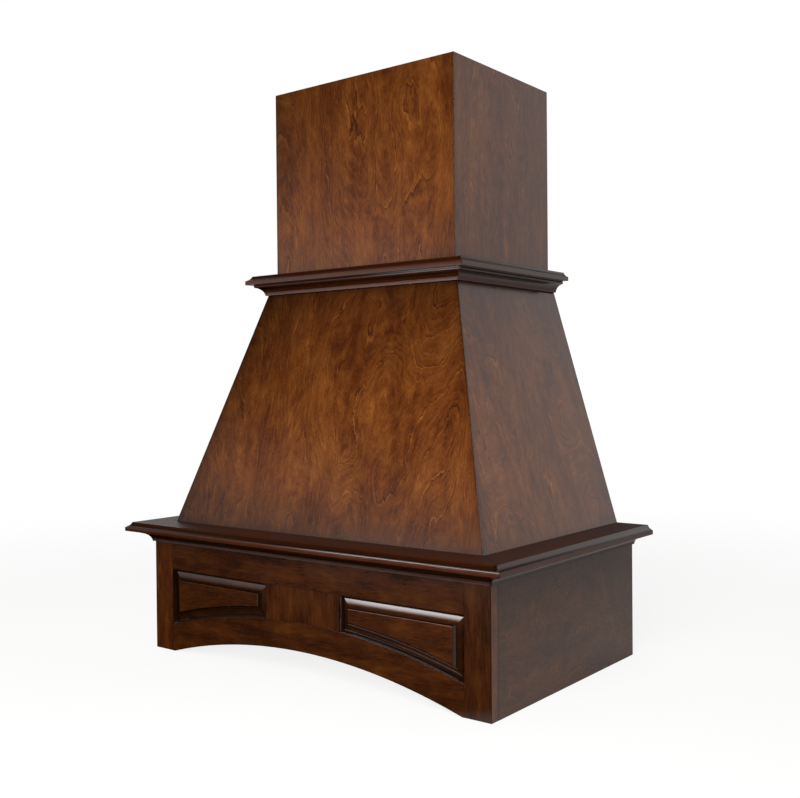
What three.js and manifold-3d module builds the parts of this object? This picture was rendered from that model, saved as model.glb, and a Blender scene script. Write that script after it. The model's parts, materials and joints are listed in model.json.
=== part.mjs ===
// Wooden range hood cover for a wall: an arched apron with two raised panels, a
// moulded mantel shelf, a tapered canopy, a crown shelf and a lift-off chimney.
// Millimetres, +Z up, front towards -Y, the wall along +Y. The origin lies under
// the middle of the overall box, level with the foot of the apron.
import * as THREE from 'three';
import { mergeVertices } from 'three/addons/utils/BufferGeometryUtils.js';
import Module from 'manifold-3d';

const wasm = await Module();
wasm.setup();

// Base box and apron frame
const hoodWidth = 914.4; // over the two base sides
const hoodDepth = 574.5; // wall to the face of the apron
const apronHeight = 269.6;
const frameThick = 22;
const sideThick = 18;
const stileWidth = 63.5; // to the sight edge, moulded edge included
const centreStileWidth = 214.6;
const topRailWidth = 89.3;
const bottomRailWidth = 64.5;
const archRise = 57.15;

// Moulded inner edge of the frame, and the groove behind it
const stickWidth = 5.2;
const stickStep = 1.6; // depth of the small square step at the face
const stickLand = 0.8;
const stickDepth = 7;
const stickSag = 1.4;
const grooveFront = 9; // from the face of the frame
const grooveWidth = 6.6;
const grooveDepth = 9.5;
const tenonPlay = 0.5;

// Raised panels
const tongueThick = 6;
const panelPlay = 1.5; // room for the tongue to swell in its groove
const raiseWidth = 18.3; // sight edge to the raised field
const raiseSag = 2.3;
const raiseFillet = 1.6;
const fieldProud = 1.8; // the field stands this far in front of the frame

// Shelves and their moulded edge
const shelfThick = 20;
const mantelOverhang = 48.5; // nose beyond the base box
const mantelBoard = 128; // nose to inner edge
const crownOverhang = 52.5; // nose beyond the chimney
const crownBoard = 92.5;
const noseRound = 1;
const noseHeight = 9.4;
const noseLedge = 2.6;
const noseStep = 1;
const lipInset = 11.3;
const lipRound = 0.8;
const edgeSag = 1.3;

// Bed moulding under each shelf
const bedHeight = 24.4;
const bedTopOut = 24.3;
const bedFootOut = 5;
const bedFootHeight = 3.2;
const beadStraight = 1.2;
const beadRound = 5.2;
const beadLedge = 1;
const bedSag = 2.4;
const quarterSag = 1 - Math.SQRT1_2; // bulge of a quarter circle over its radius

// Tapered canopy
const canopyHeight = 543.6; // mantel shelf to crown shelf
const canopyInsetSide = 36; // foot of the canopy inside the base box
const canopyInsetFront = 32.3;
const canopyTopOut = 7.8; // top of the canopy beyond the chimney
const canopyThick = 12.7;

// Chimney
const chimneyWidth = 502.1;
const chimneyDepth = 377.8;
const chimneyHeight = 419.3;
const chimneyThick = 12.7;

// Inner frame
const backRailThick = 18;
const backRailHeight = 80;
const lowerRailHeight = 66;
const cornerBlock = 25;
const blockEndGap = 5;
const cleatSize = 20;
const footCleatWidth = 24;
const locatorWidth = 18;
const locatorHeight = 30;
const locatorPlay = 1; // the chimney slips over its locators with this room

// Board that carries the ventilator, and the deck that carries the duct
const linerLevel = 96; // underside of the board
const linerThick = 12;
const insertCutWidth = 724;
const insertCutDepth = 368;
const deckThick = 12;
const ductRadius = 106;
const ductFromWall = 196; // centre of the duct

// Board screws
const screwShank = 1.9; // radius
const screwHead = 4.2; // radius
const screwHeadHeight = 2.6;
const screwLength = 26;
const screwPlay = 0.3;
const screwFromEnd = 60;

// Clearances and arc steps
const glueLine = 0.3;
const mitreGap = 0.2;
const overcut = 20; // how far a cutter reaches past what it cuts
const drillPast = 1; // how far a hole runs past its screw or board
const archSteps = 24;
const panelSteps = 10;
const profileSteps = 5;
const noseSteps = 2;
const circleSteps = 32;
const screwSteps = 12;

// Derived places
const wallY = (hoodDepth + mantelOverhang) / 2;
const frontY = wallY - hoodDepth;
const frameBackY = frontY + frameThick;
const railFrontY = wallY - backRailThick;
const boxHalf = hoodWidth / 2;
const innerHalf = boxHalf - sideThick;
const sightHalf = boxHalf - stileWidth;
const sightTop = apronHeight - topRailWidth;
const archRadius = (sightHalf ** 2 + archRise ** 2) / (2 * archRise);
const archCentreZ = archRise - archRadius;
const sightRadius = archRadius + bottomRailWidth;
const grooveBack = grooveFront + grooveWidth;
const tongueFront = grooveFront + (grooveWidth - tongueThick) / 2;
const tongueBack = tongueFront + tongueThick;
const tongueReach = grooveDepth - panelPlay;
const mantelTop = apronHeight + shelfThick;
const crownLevel = mantelTop + canopyHeight;
const crownTop = crownLevel + shelfThick;
const chimneyTop = crownTop + chimneyHeight;
const chimneyHalf = chimneyWidth / 2;
const linerTop = linerLevel + linerThick;
const sides = [[-1, 'left'], [1, 'right']];

// Finishes: [colour, roughness, metalness]
const finishes = {
  face: [0x5b3018, 0.42, 0],
  moulding: [0x4a2815, 0.38, 0],
  board: [0xb98f60, 0.7, 0],
  rail: [0xc8a877, 0.75, 0],
  steel: [0xa9a9a6, 0.35, 0.9],
};

const hood = new THREE.Group();

// Points from a to b on an arc that bulges by sag to the left of the way from a to b.
function arc([au, av], [bu, bv], sag, steps = profileSteps) {
  const length = Math.hypot(bu - au, bv - av);
  const radius = length ** 2 / (8 * sag) + sag / 2;
  const [du, dv] = [(bu - au) / length, (bv - av) / length];
  const [cu, cv] = [
    (au + bu) / 2 + dv * (radius - sag),
    (av + bv) / 2 - du * (radius - sag),
  ];
  const start = Math.atan2(av - cv, au - cu);
  let turn = Math.atan2(bv - cv, bu - cu) - start;
  turn -= 2 * Math.PI * Math.round(turn / (2 * Math.PI));
  return Array.from({ length: steps + 1 }, (_, i) => {
    const angle = start + (turn * i) / steps;
    return [cu + Math.abs(radius) * Math.cos(angle), cv + Math.abs(radius) * Math.sin(angle)];
  });
}

function signedArea(points) {
  return THREE.ShapeUtils.area(points);
}

// Triangles that close a flat ring, wound the way the ring runs.
function capFaces(ring) {
  const normal = new THREE.Vector3();
  ring.forEach((p, i) => normal.add(new THREE.Vector3().crossVectors(p, ring[(i + 1) % ring.length])));
  const size = normal.toArray().map(Math.abs);
  const drop = size.indexOf(Math.max(...size));
  const flat = ring.map((p) => new THREE.Vector2(...p.toArray().filter((_, axis) => axis !== drop)));
  const whole = signedArea(flat);
  return THREE.ShapeUtils.triangulateShape(flat, []).map(([a, b, c]) =>
    signedArea([flat[a], flat[b], flat[c]]) * whole < 0 ? [a, c, b] : [a, b, c],
  );
}

function solidFrom(vertices, faces) {
  const geometry = new THREE.BufferGeometry();
  geometry.setAttribute('position', new THREE.Float32BufferAttribute(vertices, 3));
  geometry.setIndex(faces);
  const merged = mergeVertices(geometry);
  return new wasm.Manifold(
    new wasm.Mesh({
      numProp: 3,
      vertProperties: merged.attributes.position.array,
      triVerts: new Uint32Array(merged.index.array),
    }),
  );
}

// A closed solid skinned over rings of equal count, with flat ends.
function skin(rings) {
  const count = rings[0].length;
  const last = (rings.length - 1) * count;
  const vertices = rings.flat().flatMap((p) => p.toArray());
  const faces = [];
  for (let r = 0; r < rings.length - 1; r++) {
    for (let i = 0; i < count; i++) {
      const a = r * count + i;
      const b = r * count + ((i + 1) % count);
      faces.push(a, b, b + count, a, b + count, a + count);
    }
  }
  capFaces(rings[0]).forEach(([a, b, c]) => faces.push(a, c, b));
  capFaces(rings.at(-1)).forEach(([a, b, c]) => faces.push(last + a, last + b, last + c));
  const solid = solidFrom(vertices, faces);
  return solid.volume() > 0 ? solid : solidFrom(vertices, faces.reverse());
}

const point = (x, y, z) => new THREE.Vector3(x, y, z);
const alongX = (outline, x0, x1) => skin([x0, x1].map((x) => outline.map(([y, z]) => point(x, y, z))));
const alongY = (outline, y0, y1) => skin([y0, y1].map((y) => outline.map(([x, z]) => point(x, y, z))));
const alongZ = (outline, z0, z1) => skin([z0, z1].map((z) => outline.map(([x, y]) => point(x, y, z))));

const rectangle = (u0, u1, v0, v1) => [[u0, v0], [u1, v0], [u1, v1], [u0, v1]];
const board = (x0, x1, y0, y1, z0, z1) => alongZ(rectangle(x0, x1, y0, y1), z0, z1);

function circle(x, y, radius, steps) {
  return Array.from({ length: steps }, (_, i) => {
    const angle = (2 * Math.PI * i) / steps;
    return [x + radius * Math.cos(angle), y + radius * Math.sin(angle)];
  });
}

// Sweeps an outline of (radius, y) about the centre of the arch, between two places
// in x on the circle of the given radius.
function sweepArch(outline, xStart, xEnd, radius, steps) {
  const [start, end] = [xStart, xEnd].map((x) => Math.asin(x / radius));
  return skin(
    Array.from({ length: steps + 1 }, (_, i) => {
      const angle = start + ((end - start) * i) / steps;
      return outline.map(([r, y]) =>
        point(r * Math.sin(angle), y, archCentreZ + r * Math.cos(angle)));
    }),
  );
}

function geometryOf(solid) {
  const { vertProperties, triVerts } = solid.getMesh();
  const geometry = new THREE.BufferGeometry();
  geometry.setAttribute('position', new THREE.BufferAttribute(vertProperties, 3));
  geometry.setIndex(new THREE.BufferAttribute(triVerts, 1));
  return geometry;
}

function moved(solid, x, y, z) {
  const geometry = geometryOf(solid).translate(x, y, z);
  return solidFrom([...geometry.attributes.position.array], [...geometry.index.array]);
}

// Cuts a piece to fit round its neighbour, glueLine clear of it on the named sides.
function coped(piece, neighbour, shifts) {
  return shifts.reduce((rest, shift) => rest.subtract(moved(neighbour, ...shift)), piece);
}

function add(name, solid, finish) {
  const [color, roughness, metalness] = finishes[finish];
  const material = new THREE.MeshStandardMaterial({ color, roughness, metalness });
  const mesh = new THREE.Mesh(geometryOf(solid), material);
  mesh.name = name;
  hood.add(mesh);
}

// Moulded edge of a frame member as [distance into the wood, depth from the face].
function stickEdge() {
  return [
    [stickWidth, 0],
    [stickWidth, stickStep],
    ...arc([stickWidth - stickLand, stickStep], [0, stickDepth], -stickSag),
    [0, grooveFront],
    [grooveDepth, grooveFront],
    [grooveDepth, grooveBack],
    [0, grooveBack],
    [0, frameThick],
  ];
}

const member = (width) => [[width, 0], ...stickEdge(), [width, frameThick]];

function stile(side) {
  const outline = member(stileWidth).map(([s, t]) => [side * (sightHalf + s), frontY + t]);
  return alongZ(outline, 0, apronHeight);
}

// Shifts that keep a coped piece clear of its neighbour towards (x, z), front and back.
const clearOf = (x, z) => [-1, 0, 1].map((way) => [x * glueLine, way * glueLine, z * glueLine]);

function fitBetweenStiles(rail, stiles) {
  return stiles.reduce((rest, neighbour, i) => coped(rest, neighbour, clearOf(i ? -1 : 1, 0)), rail);
}

function topRail(stiles) {
  const reach = sightHalf + grooveDepth - tenonPlay;
  const outline = member(topRailWidth).map(([s, t]) => [frontY + t, sightTop + s]);
  return fitBetweenStiles(alongX(outline, -reach, reach), stiles);
}

function bottomRail(stiles) {
  const reach = sightHalf + grooveDepth - tenonPlay;
  const outline = member(bottomRailWidth).map(([s, t]) => [sightRadius - s, frontY + t]);
  const swept = sweepArch(outline, -reach - overcut, reach + overcut, archRadius, archSteps);
  const trimmed = swept.intersect(board(-reach, reach, frontY, frameBackY, 0, apronHeight));
  return fitBetweenStiles(trimmed, stiles);
}

function centreStile(upper, lower) {
  const half = centreStileWidth / 2;
  const right = stickEdge().map(([s, t]) => [half - s, frontY + t]);
  const left = right.map(([x, y]) => [-x, y]).reverse();
  const foot = archCentreZ + sightRadius - bottomRailWidth;
  const blank = alongZ([...right, ...left], foot, sightTop + grooveDepth - tenonPlay);
  const reach = half + overcut;
  const lowerBlock = sweepArch(
    rectangle(archRadius - overcut, sightRadius - grooveDepth + tenonPlay, frontY, frameBackY),
    -reach,
    reach,
    archRadius,
    archSteps,
  );
  const top = coped(blank, upper, clearOf(0, -1));
  return coped(top, lower, clearOf(0, 1)).subtract(lowerBlock);
}

// Section cut away in front of a panel's raised edge: [distance from the sight edge, y].
function raiseCut() {
  const clear = frontY - fieldProud - overcut;
  const foot = frontY - fieldProud + raiseFillet;
  return [
    [-overcut, clear],
    [-overcut, frontY + tongueFront],
    ...arc([0, frontY + tongueFront], [raiseWidth, foot], raiseSag),
    [raiseWidth, clear],
  ];
}

function raisedPanel(side) {
  const near = centreStileWidth / 2;
  const [x0, x1] = [near - tongueReach, sightHalf + tongueReach];
  const top = sightTop + tongueReach;
  const [y0, y1] = [frontY - fieldProud, frontY + tongueBack];
  const steps = Array.from({ length: panelSteps + 1 }, (_, i) => x0 + ((x1 - x0) * i) / panelSteps);
  const edge = steps.map((x) => [
    side * x,
    archCentreZ + Math.sqrt((sightRadius - tongueReach) ** 2 - x ** 2),
  ]);
  let panel = alongY([...edge, [side * x1, top], [side * x0, top]], y0, y1);
  const upright = (x, way) => raiseCut().map(([s, y]) => [side * (x + way * s), y]);
  panel = panel.subtract(alongZ(upright(near, 1), -overcut, apronHeight));
  panel = panel.subtract(alongZ(upright(sightHalf, -1), -overcut, apronHeight));
  const head = raiseCut().map(([s, y]) => [y, sightTop - s]);
  panel = panel.subtract(alongX(head, side * (x0 - overcut), side * (x1 + overcut)));
  const foot = raiseCut().map(([s, y]) => [sightRadius + s, y]);
  const [from, to] = side > 0 ? [x0 - overcut, x1 + overcut] : [-x1 - overcut, -x0 + overcut];
  return panel.subtract(sweepArch(foot, from, to, sightRadius, 2 * panelSteps));
}

function addApron() {
  const stiles = sides.map(([side]) => stile(side));
  const upper = topRail(stiles);
  const lower = bottomRail(stiles);
  add('apron_top_rail', upper, 'face');
  add('apron_bottom_rail', lower, 'face');
  add('apron_centre_stile', centreStile(upper, lower), 'face');
  sides.forEach(([side, hand], i) => {
    add(`apron_${hand}_stile`, stiles[i], 'face');
    add(`apron_${hand}_panel`, raisedPanel(side), 'face');
  });
}

const cornerPrism = (side, x, y, z0, z1) =>
  alongZ([[side * x, y], [side * (x - cornerBlock), y], [side * x, y + cornerBlock]], z0, z1);

function addBase() {
  for (const [side, hand] of sides) {
    const panel = board(side * innerHalf, side * boxHalf, frameBackY, wallY, 0, apronHeight);
    add(`base_${hand}_side`, panel, 'face');
    const block = cornerPrism(side, innerHalf, frameBackY, linerTop + blockEndGap, apronHeight);
    add(`base_${hand}_corner_block`, block, 'rail');
  }
  const railBottom = apronHeight - backRailHeight;
  const upper = board(-innerHalf, innerHalf, railFrontY, wallY, railBottom, apronHeight);
  add('base_hanging_rail', upper, 'rail');
  const lowerFoot = linerLevel - lowerRailHeight;
  const lower = board(-innerHalf, innerHalf, railFrontY, wallY, lowerFoot, linerLevel);
  add('base_lower_rail', lower, 'rail');
}

const screwX = innerHalf - cleatSize / 2;
const screwPlaces = [
  ['front', frameBackY + cleatSize + screwFromEnd],
  ['rear', railFrontY - screwFromEnd],
];

function screwHole(side, y) {
  const outline = circle(side * screwX, y, screwShank + screwPlay, screwSteps);
  return alongZ(outline, linerTop - screwLength - drillPast, linerTop + drillPast);
}

function screw(side, y) {
  const shank = alongZ(circle(side * screwX, y, screwShank, screwSteps), linerTop - screwLength, linerTop);
  const rim = circle(side * screwX, y, screwHead, screwSteps);
  const head = alongZ(rim, linerTop, linerTop + screwHeadHeight);
  return shank.add(head);
}

function addLiner() {
  const cleatFoot = linerLevel - cleatSize;
  const cleatBackY = frameBackY + cleatSize;
  const front = board(-innerHalf, innerHalf, frameBackY, cleatBackY, cleatFoot, linerLevel);
  add('liner_front_cleat', front, 'rail');

  const midY = (frameBackY + railFrontY) / 2;
  const whole = board(-innerHalf, innerHalf, frameBackY, wallY, linerLevel, linerTop);
  let liner = whole.subtract(
    board(
      -insertCutWidth / 2,
      insertCutWidth / 2,
      midY - insertCutDepth / 2,
      midY + insertCutDepth / 2,
      linerLevel - drillPast,
      linerTop + drillPast,
    ),
  );
  for (const [side, hand] of sides) {
    const inner = innerHalf - cleatSize;
    let cleat = board(side * inner, side * innerHalf, cleatBackY, railFrontY, cleatFoot, linerLevel);
    for (const [place, y] of screwPlaces) {
      cleat = cleat.subtract(screwHole(side, y));
      liner = liner.subtract(screwHole(side, y));
      add(`liner_screw_${hand}_${place}`, screw(side, y), 'steel');
    }
    add(`liner_${hand}_cleat`, cleat, 'rail');
  }
  add('liner_board', liner, 'board');
}

// Board with a moulded nose, as [out from the nose, height above the underside].
function shelfSection(boardWidth) {
  const ledgeZ = noseHeight;
  const coveZ = noseHeight + noseStep;
  return [
    [-boardWidth, 0],
    ...arc([-noseRound, 0], [0, noseRound], -noseRound * quarterSag, noseSteps),
    ...arc([0, noseHeight - noseRound], [-noseRound, ledgeZ], -noseRound * quarterSag, noseSteps),
    [-noseLedge, ledgeZ],
    ...arc([-noseLedge, coveZ], [-lipInset, shelfThick - lipRound], edgeSag),
    [-lipInset - lipRound, shelfThick],
    [-boardWidth, shelfThick],
  ];
}

// Bed moulding as [out from the face it lies on, height below the shelf].
function bedSection(backSlope) {
  const beadFoot = -beadStraight - beadRound;
  const beadIn = bedTopOut - beadRound;
  const back = backSlope ? glueLine : 0;
  return [
    [back - backSlope * bedHeight, 0],
    [back, -bedHeight],
    [bedFootOut, -bedHeight],
    ...arc([bedFootOut, bedFootHeight - bedHeight], [beadIn - beadLedge, beadFoot], bedSag),
    ...arc([beadIn, beadFoot], [bedTopOut, -beadStraight], -beadRound * quarterSag),
    [bedTopOut, 0],
  ];
}

// Front, left and right lengths of a moulding, mitred at the two front corners.
function addMoulding(name, section, half, depth, level) {
  const at = (side, out, z, dx, dy) => point(side * (half + out - dx), wallY - depth - out + dy, level + z);
  const front = sides.map(([side]) => section.map(([out, z]) => at(side, out, z, mitreGap, 0)));
  add(`${name}_front`, skin(front), 'moulding');
  for (const [side, hand] of sides) {
    const corner = section.map(([out, z]) => at(side, out, z, 0, mitreGap));
    const end = section.map(([out, z]) => point(side * (half + out), wallY, level + z));
    add(`${name}_${hand}`, skin([corner, end]), 'moulding');
  }
}

const canopyFootHalf = boxHalf - canopyInsetSide;
const canopyFootDepth = hoodDepth - canopyInsetFront;
const sideSlope = (canopyFootHalf - chimneyHalf - canopyTopOut) / canopyHeight;
const frontSlope = (canopyFootDepth - chimneyDepth - canopyTopOut) / canopyHeight;
const sideWall = canopyThick * Math.hypot(1, sideSlope); // thickness measured level
const frontWall = canopyThick * Math.hypot(1, frontSlope);
const canopyHalfAt = (z) => canopyFootHalf - sideSlope * (z - mantelTop);
const canopyFrontAt = (z) => wallY - canopyFootDepth + frontSlope * (z - mantelTop);
const innerHalfAt = (z) => canopyHalfAt(z) - sideWall - glueLine;
const innerFrontAt = (z) => canopyFrontAt(z) + frontWall + glueLine;

// Three boards of one box, mitred at the front corners; half and front give the outline.
function addShell(name, levels, half, front, sideT, frontT) {
  const faces = (z) => {
    const [x, y] = [half(z), front(z)];
    const level = (px, py) => point(px, py, z);
    return {
      front: [
        level(-x + mitreGap, y),
        level(x - mitreGap, y),
        level(x - sideT - mitreGap, y + frontT),
        level(-x + sideT + mitreGap, y + frontT),
      ],
      side: (way) => [
        level(way * x, y + mitreGap),
        level(way * x, wallY),
        level(way * (x - sideT), wallY),
        level(way * (x - sideT), y + frontT + mitreGap),
      ],
    };
  };
  add(`${name}_front`, skin(levels.map((z) => faces(z).front)), 'face');
  for (const [side, hand] of sides) {
    add(`${name}_${hand}`, skin(levels.map((z) => faces(z).side(side))), 'face');
  }
}

function addCanopyBraces() {
  const cleatTop = mantelTop + cleatSize;
  for (const [side, hand] of sides) {
    const strip = (z) => {
      const [x, y] = [innerHalfAt(z), innerFrontAt(z)];
      return [
        point(side * x, y, z),
        point(side * (x - cornerBlock), y, z),
        point(side * x, y + cornerBlock, z),
      ];
    };
    const stripLevels = [mantelTop, crownLevel - deckThick - blockEndGap];
    add(`canopy_${hand}_corner_strip`, skin(stripLevels.map(strip)), 'rail');

    const cleat = [
      [side * innerHalfAt(mantelTop), mantelTop],
      [side * innerHalfAt(cleatTop), cleatTop],
      [side * (innerHalfAt(mantelTop) - footCleatWidth), cleatTop],
      [side * (innerHalfAt(mantelTop) - footCleatWidth), mantelTop],
    ];
    const startY = innerFrontAt(cleatTop) + cornerBlock + blockEndGap;
    add(`canopy_${hand}_foot_cleat`, alongY(cleat, startY, railFrontY), 'rail');
  }
  const backY = innerFrontAt(mantelTop) + footCleatWidth;
  const frontCleat = [
    [innerFrontAt(mantelTop), mantelTop],
    [backY, mantelTop],
    [backY, cleatTop],
    [innerFrontAt(cleatTop), cleatTop],
  ];
  const reach = innerHalfAt(cleatTop) - cornerBlock - blockEndGap;
  add('canopy_front_foot_cleat', alongX(frontCleat, -reach, reach), 'rail');
}

function canopyRail(z0, z1) {
  const outline = [
    [-innerHalfAt(z0), z0],
    [innerHalfAt(z0), z0],
    [innerHalfAt(z1), z1],
    [-innerHalfAt(z1), z1],
  ];
  return alongY(outline, railFrontY, wallY);
}

function ductDeck() {
  const ring = (z) => [
    point(-innerHalfAt(z), innerFrontAt(z), z),
    point(innerHalfAt(z), innerFrontAt(z), z),
    point(innerHalfAt(z), railFrontY, z),
    point(-innerHalfAt(z), railFrontY, z),
  ];
  const foot = crownLevel - deckThick;
  const outline = circle(0, wallY - ductFromWall, ductRadius, circleSteps);
  const hole = alongZ(outline, foot - drillPast, crownLevel + drillPast);
  return skin([foot, crownLevel].map(ring)).subtract(hole);
}

function addCanopy() {
  addShell('canopy', [mantelTop, crownLevel], canopyHalfAt, canopyFrontAt, sideWall, frontWall);
  addCanopyBraces();
  add('canopy_lower_rail', canopyRail(mantelTop, mantelTop + backRailHeight), 'rail');
  add('canopy_hanging_rail', canopyRail(crownLevel - backRailHeight, crownLevel), 'rail');
  add('duct_deck', ductDeck(), 'board');
}

function addChimney() {
  const frontOfChimney = wallY - chimneyDepth;
  const levels = [crownTop, chimneyTop];
  addShell('chimney', levels, () => chimneyHalf, () => frontOfChimney, chimneyThick, chimneyThick);
  const [inX, inY] = [chimneyHalf - chimneyThick, frontOfChimney + chimneyThick + mitreGap];
  for (const [side, hand] of sides) {
    const foot = crownTop + locatorHeight + blockEndGap;
    const strip = cornerPrism(side, inX, inY, foot, chimneyTop - blockEndGap);
    add(`chimney_${hand}_corner_strip`, strip, 'rail');
  }
  const rail = (z0, z1) => board(-inX, inX, railFrontY, wallY, z0, z1);
  add('chimney_lower_rail', rail(crownTop, crownTop + backRailHeight), 'rail');
  add('chimney_upper_rail', rail(chimneyTop - backRailHeight, chimneyTop), 'rail');
}

// Cleats on the crown shelf that the chimney drops over.
function addLocators() {
  const x = chimneyHalf - chimneyThick - locatorPlay;
  const y = wallY - chimneyDepth + chimneyThick + locatorPlay;
  const top = crownTop + locatorHeight;
  add('chimney_front_locator', board(-x, x, y, y + locatorWidth, crownTop, top), 'rail');
  for (const [side, hand] of sides) {
    const outline = rectangle(
      side * (x - locatorWidth),
      side * x,
      y + locatorWidth,
      railFrontY - locatorPlay,
    );
    add(`chimney_${hand}_locator`, alongZ(outline, crownTop, top), 'rail');
  }
}

addApron();
addBase();
addLiner();
addMoulding('mantel_cove', bedSection(0), boxHalf, hoodDepth, apronHeight);
addMoulding(
  'mantel_shelf',
  shelfSection(mantelBoard),
  boxHalf + mantelOverhang,
  hoodDepth + mantelOverhang,
  apronHeight,
);
addCanopy();

const bedFoot = crownLevel - bedHeight;
const leastSlope = Math.min(sideSlope, frontSlope);
addMoulding(
  'crown_cove',
  bedSection(leastSlope),
  canopyHalfAt(bedFoot),
  wallY - canopyFrontAt(bedFoot),
  crownLevel,
);
addMoulding(
  'crown_shelf',
  shelfSection(crownBoard),
  chimneyHalf + crownOverhang,
  chimneyDepth + crownOverhang,
  crownLevel,
);
addLocators();
addChimney();

export default hood;
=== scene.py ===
import itertools
import json
import math
from functools import partial

import bmesh
import bpy
from mathutils import Matrix, Vector

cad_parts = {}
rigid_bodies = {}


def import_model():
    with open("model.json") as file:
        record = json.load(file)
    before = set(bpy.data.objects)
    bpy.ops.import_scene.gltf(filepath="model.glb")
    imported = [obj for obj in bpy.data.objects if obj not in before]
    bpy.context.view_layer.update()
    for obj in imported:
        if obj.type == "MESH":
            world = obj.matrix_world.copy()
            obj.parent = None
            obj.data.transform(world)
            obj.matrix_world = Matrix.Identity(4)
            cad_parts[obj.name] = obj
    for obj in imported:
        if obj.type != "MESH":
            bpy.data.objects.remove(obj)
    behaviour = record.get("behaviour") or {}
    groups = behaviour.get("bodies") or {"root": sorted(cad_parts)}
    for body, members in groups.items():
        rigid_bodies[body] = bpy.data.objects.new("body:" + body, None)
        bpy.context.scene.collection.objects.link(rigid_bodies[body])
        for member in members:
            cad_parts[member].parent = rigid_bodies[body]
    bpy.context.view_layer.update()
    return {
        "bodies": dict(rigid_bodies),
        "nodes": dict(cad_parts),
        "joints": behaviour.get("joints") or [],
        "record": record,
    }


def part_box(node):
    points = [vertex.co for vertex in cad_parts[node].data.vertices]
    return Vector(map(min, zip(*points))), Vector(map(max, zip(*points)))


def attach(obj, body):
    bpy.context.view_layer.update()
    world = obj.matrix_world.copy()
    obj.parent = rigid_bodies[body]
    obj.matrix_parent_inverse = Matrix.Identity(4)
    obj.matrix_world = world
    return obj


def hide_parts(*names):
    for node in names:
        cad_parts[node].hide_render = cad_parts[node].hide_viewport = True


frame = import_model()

mm = 0.001
creaseAngle = 18.0  # degrees between two facets of a moulding that stay a crisp edge
smooth = {"interpolation_type": "SMOOTHSTEP"}

# Sizes of the hood in millimetres, the same as those of its solids.
hood = {
    "wallY": 311.5,
    "depth": 574.5,
    "half": 457.2,
    "apronHeight": 269.6,
    "frameThick": 22.0,
    "sightHalf": 393.7,
    "sightTop": 180.3,
    "centreHalf": 107.3,
    "archRadius": 1384.653,
    "bottomRail": 64.5,
    "archRise": 57.15,
    "mantelTop": 289.6,
    "crownLevel": 833.2,
    "crownTop": 853.2,
    "chimneyTop": 1272.5,
}
frontY = hood["wallY"] - hood["depth"]
backY = frontY + hood["frameThick"]
archCentre = hood["archRise"] - hood["archRadius"]
sightRadius = hood["archRadius"] + hood["bottomRail"]
handSides = {"left": -1, "right": 1}


def toLinear(hexColour):
    channels = [int(hexColour[i : i + 2], 16) / 255 for i in (1, 3, 5)]
    linear = [c / 12.92 if c <= 0.04045 else ((c + 0.055) / 1.055) ** 2.4 for c in channels]
    return (*linear, 1.0)


# Adds a node with its settings and links. Inputs come in order or by name, and each is
# a node, a socket or a value. Shader nodes are named without their "ShaderNode".
def addNode(tree, kind, inputs=(), stops=(), **settings):
    whole = kind.startswith(("GeometryNode", "NodeGroup"))
    node = tree.nodes.new(kind if whole else f"ShaderNode{kind}")
    for key, value in settings.items():
        setattr(node, key, value)
    for key, value in inputs.items() if isinstance(inputs, dict) else enumerate(inputs):
        source = value.outputs[0] if isinstance(value, bpy.types.Node) else value
        if isinstance(source, bpy.types.NodeSocket):
            tree.links.new(source, node.inputs[key])
        else:
            node.inputs[key].default_value = source
    for index, (place, colour) in enumerate(stops):
        if index >= len(node.color_ramp.elements):
            node.color_ramp.elements.new(place)
        node.color_ramp.elements[index].position = place
        node.color_ramp.elements[index].color = toLinear(colour)
    return node


def startMaterial(name):
    material = bpy.data.materials.new(name)
    material.use_nodes = True
    material.node_tree.nodes.clear()
    return material, partial(addNode, material.node_tree)


# Lays the colour, gloss and shallow relief on a started material.
def finishMaterial(add, look, colour, roughness, relief):
    bump = {"Height": relief, "Strength": look["bump"], "Distance": look["bumpDepth"]}
    normal = add("Bump", bump)
    laid = {"Base Color": colour, "Roughness": roughness, "Normal": normal, **look["fixed"]}
    add("OutputMaterial", [add("BsdfPrincipled", laid)])


# Noise layers over a board, each as long and as wide, in millimetres, as its marks are.
def layNoises(add, place, noises):
    layers = {}
    for name, (long, wide, detail) in noises.items():
        scale = (1000 / long, 1000 / wide, 1000 / wide)
        scaled = add("Mapping", {"Vector": place, "Scale": scale})
        marks = {"Vector": scaled, "Scale": 1.0, "Detail": detail, "Roughness": 0.55}
        layers[name] = add("TexNoise", marks)
    return layers


# Adds layers, each by its own weight, to a start; noise is centred on that start.
def blendLayers(add, layers, weights, start=0.5, centred=True):
    total = start - sum(weights.values()) / 2 if centred else start
    for name, weight in weights.items():
        total = add("Math", [layers[name], weight, total], operation="MULTIPLY_ADD")
    return total


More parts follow.
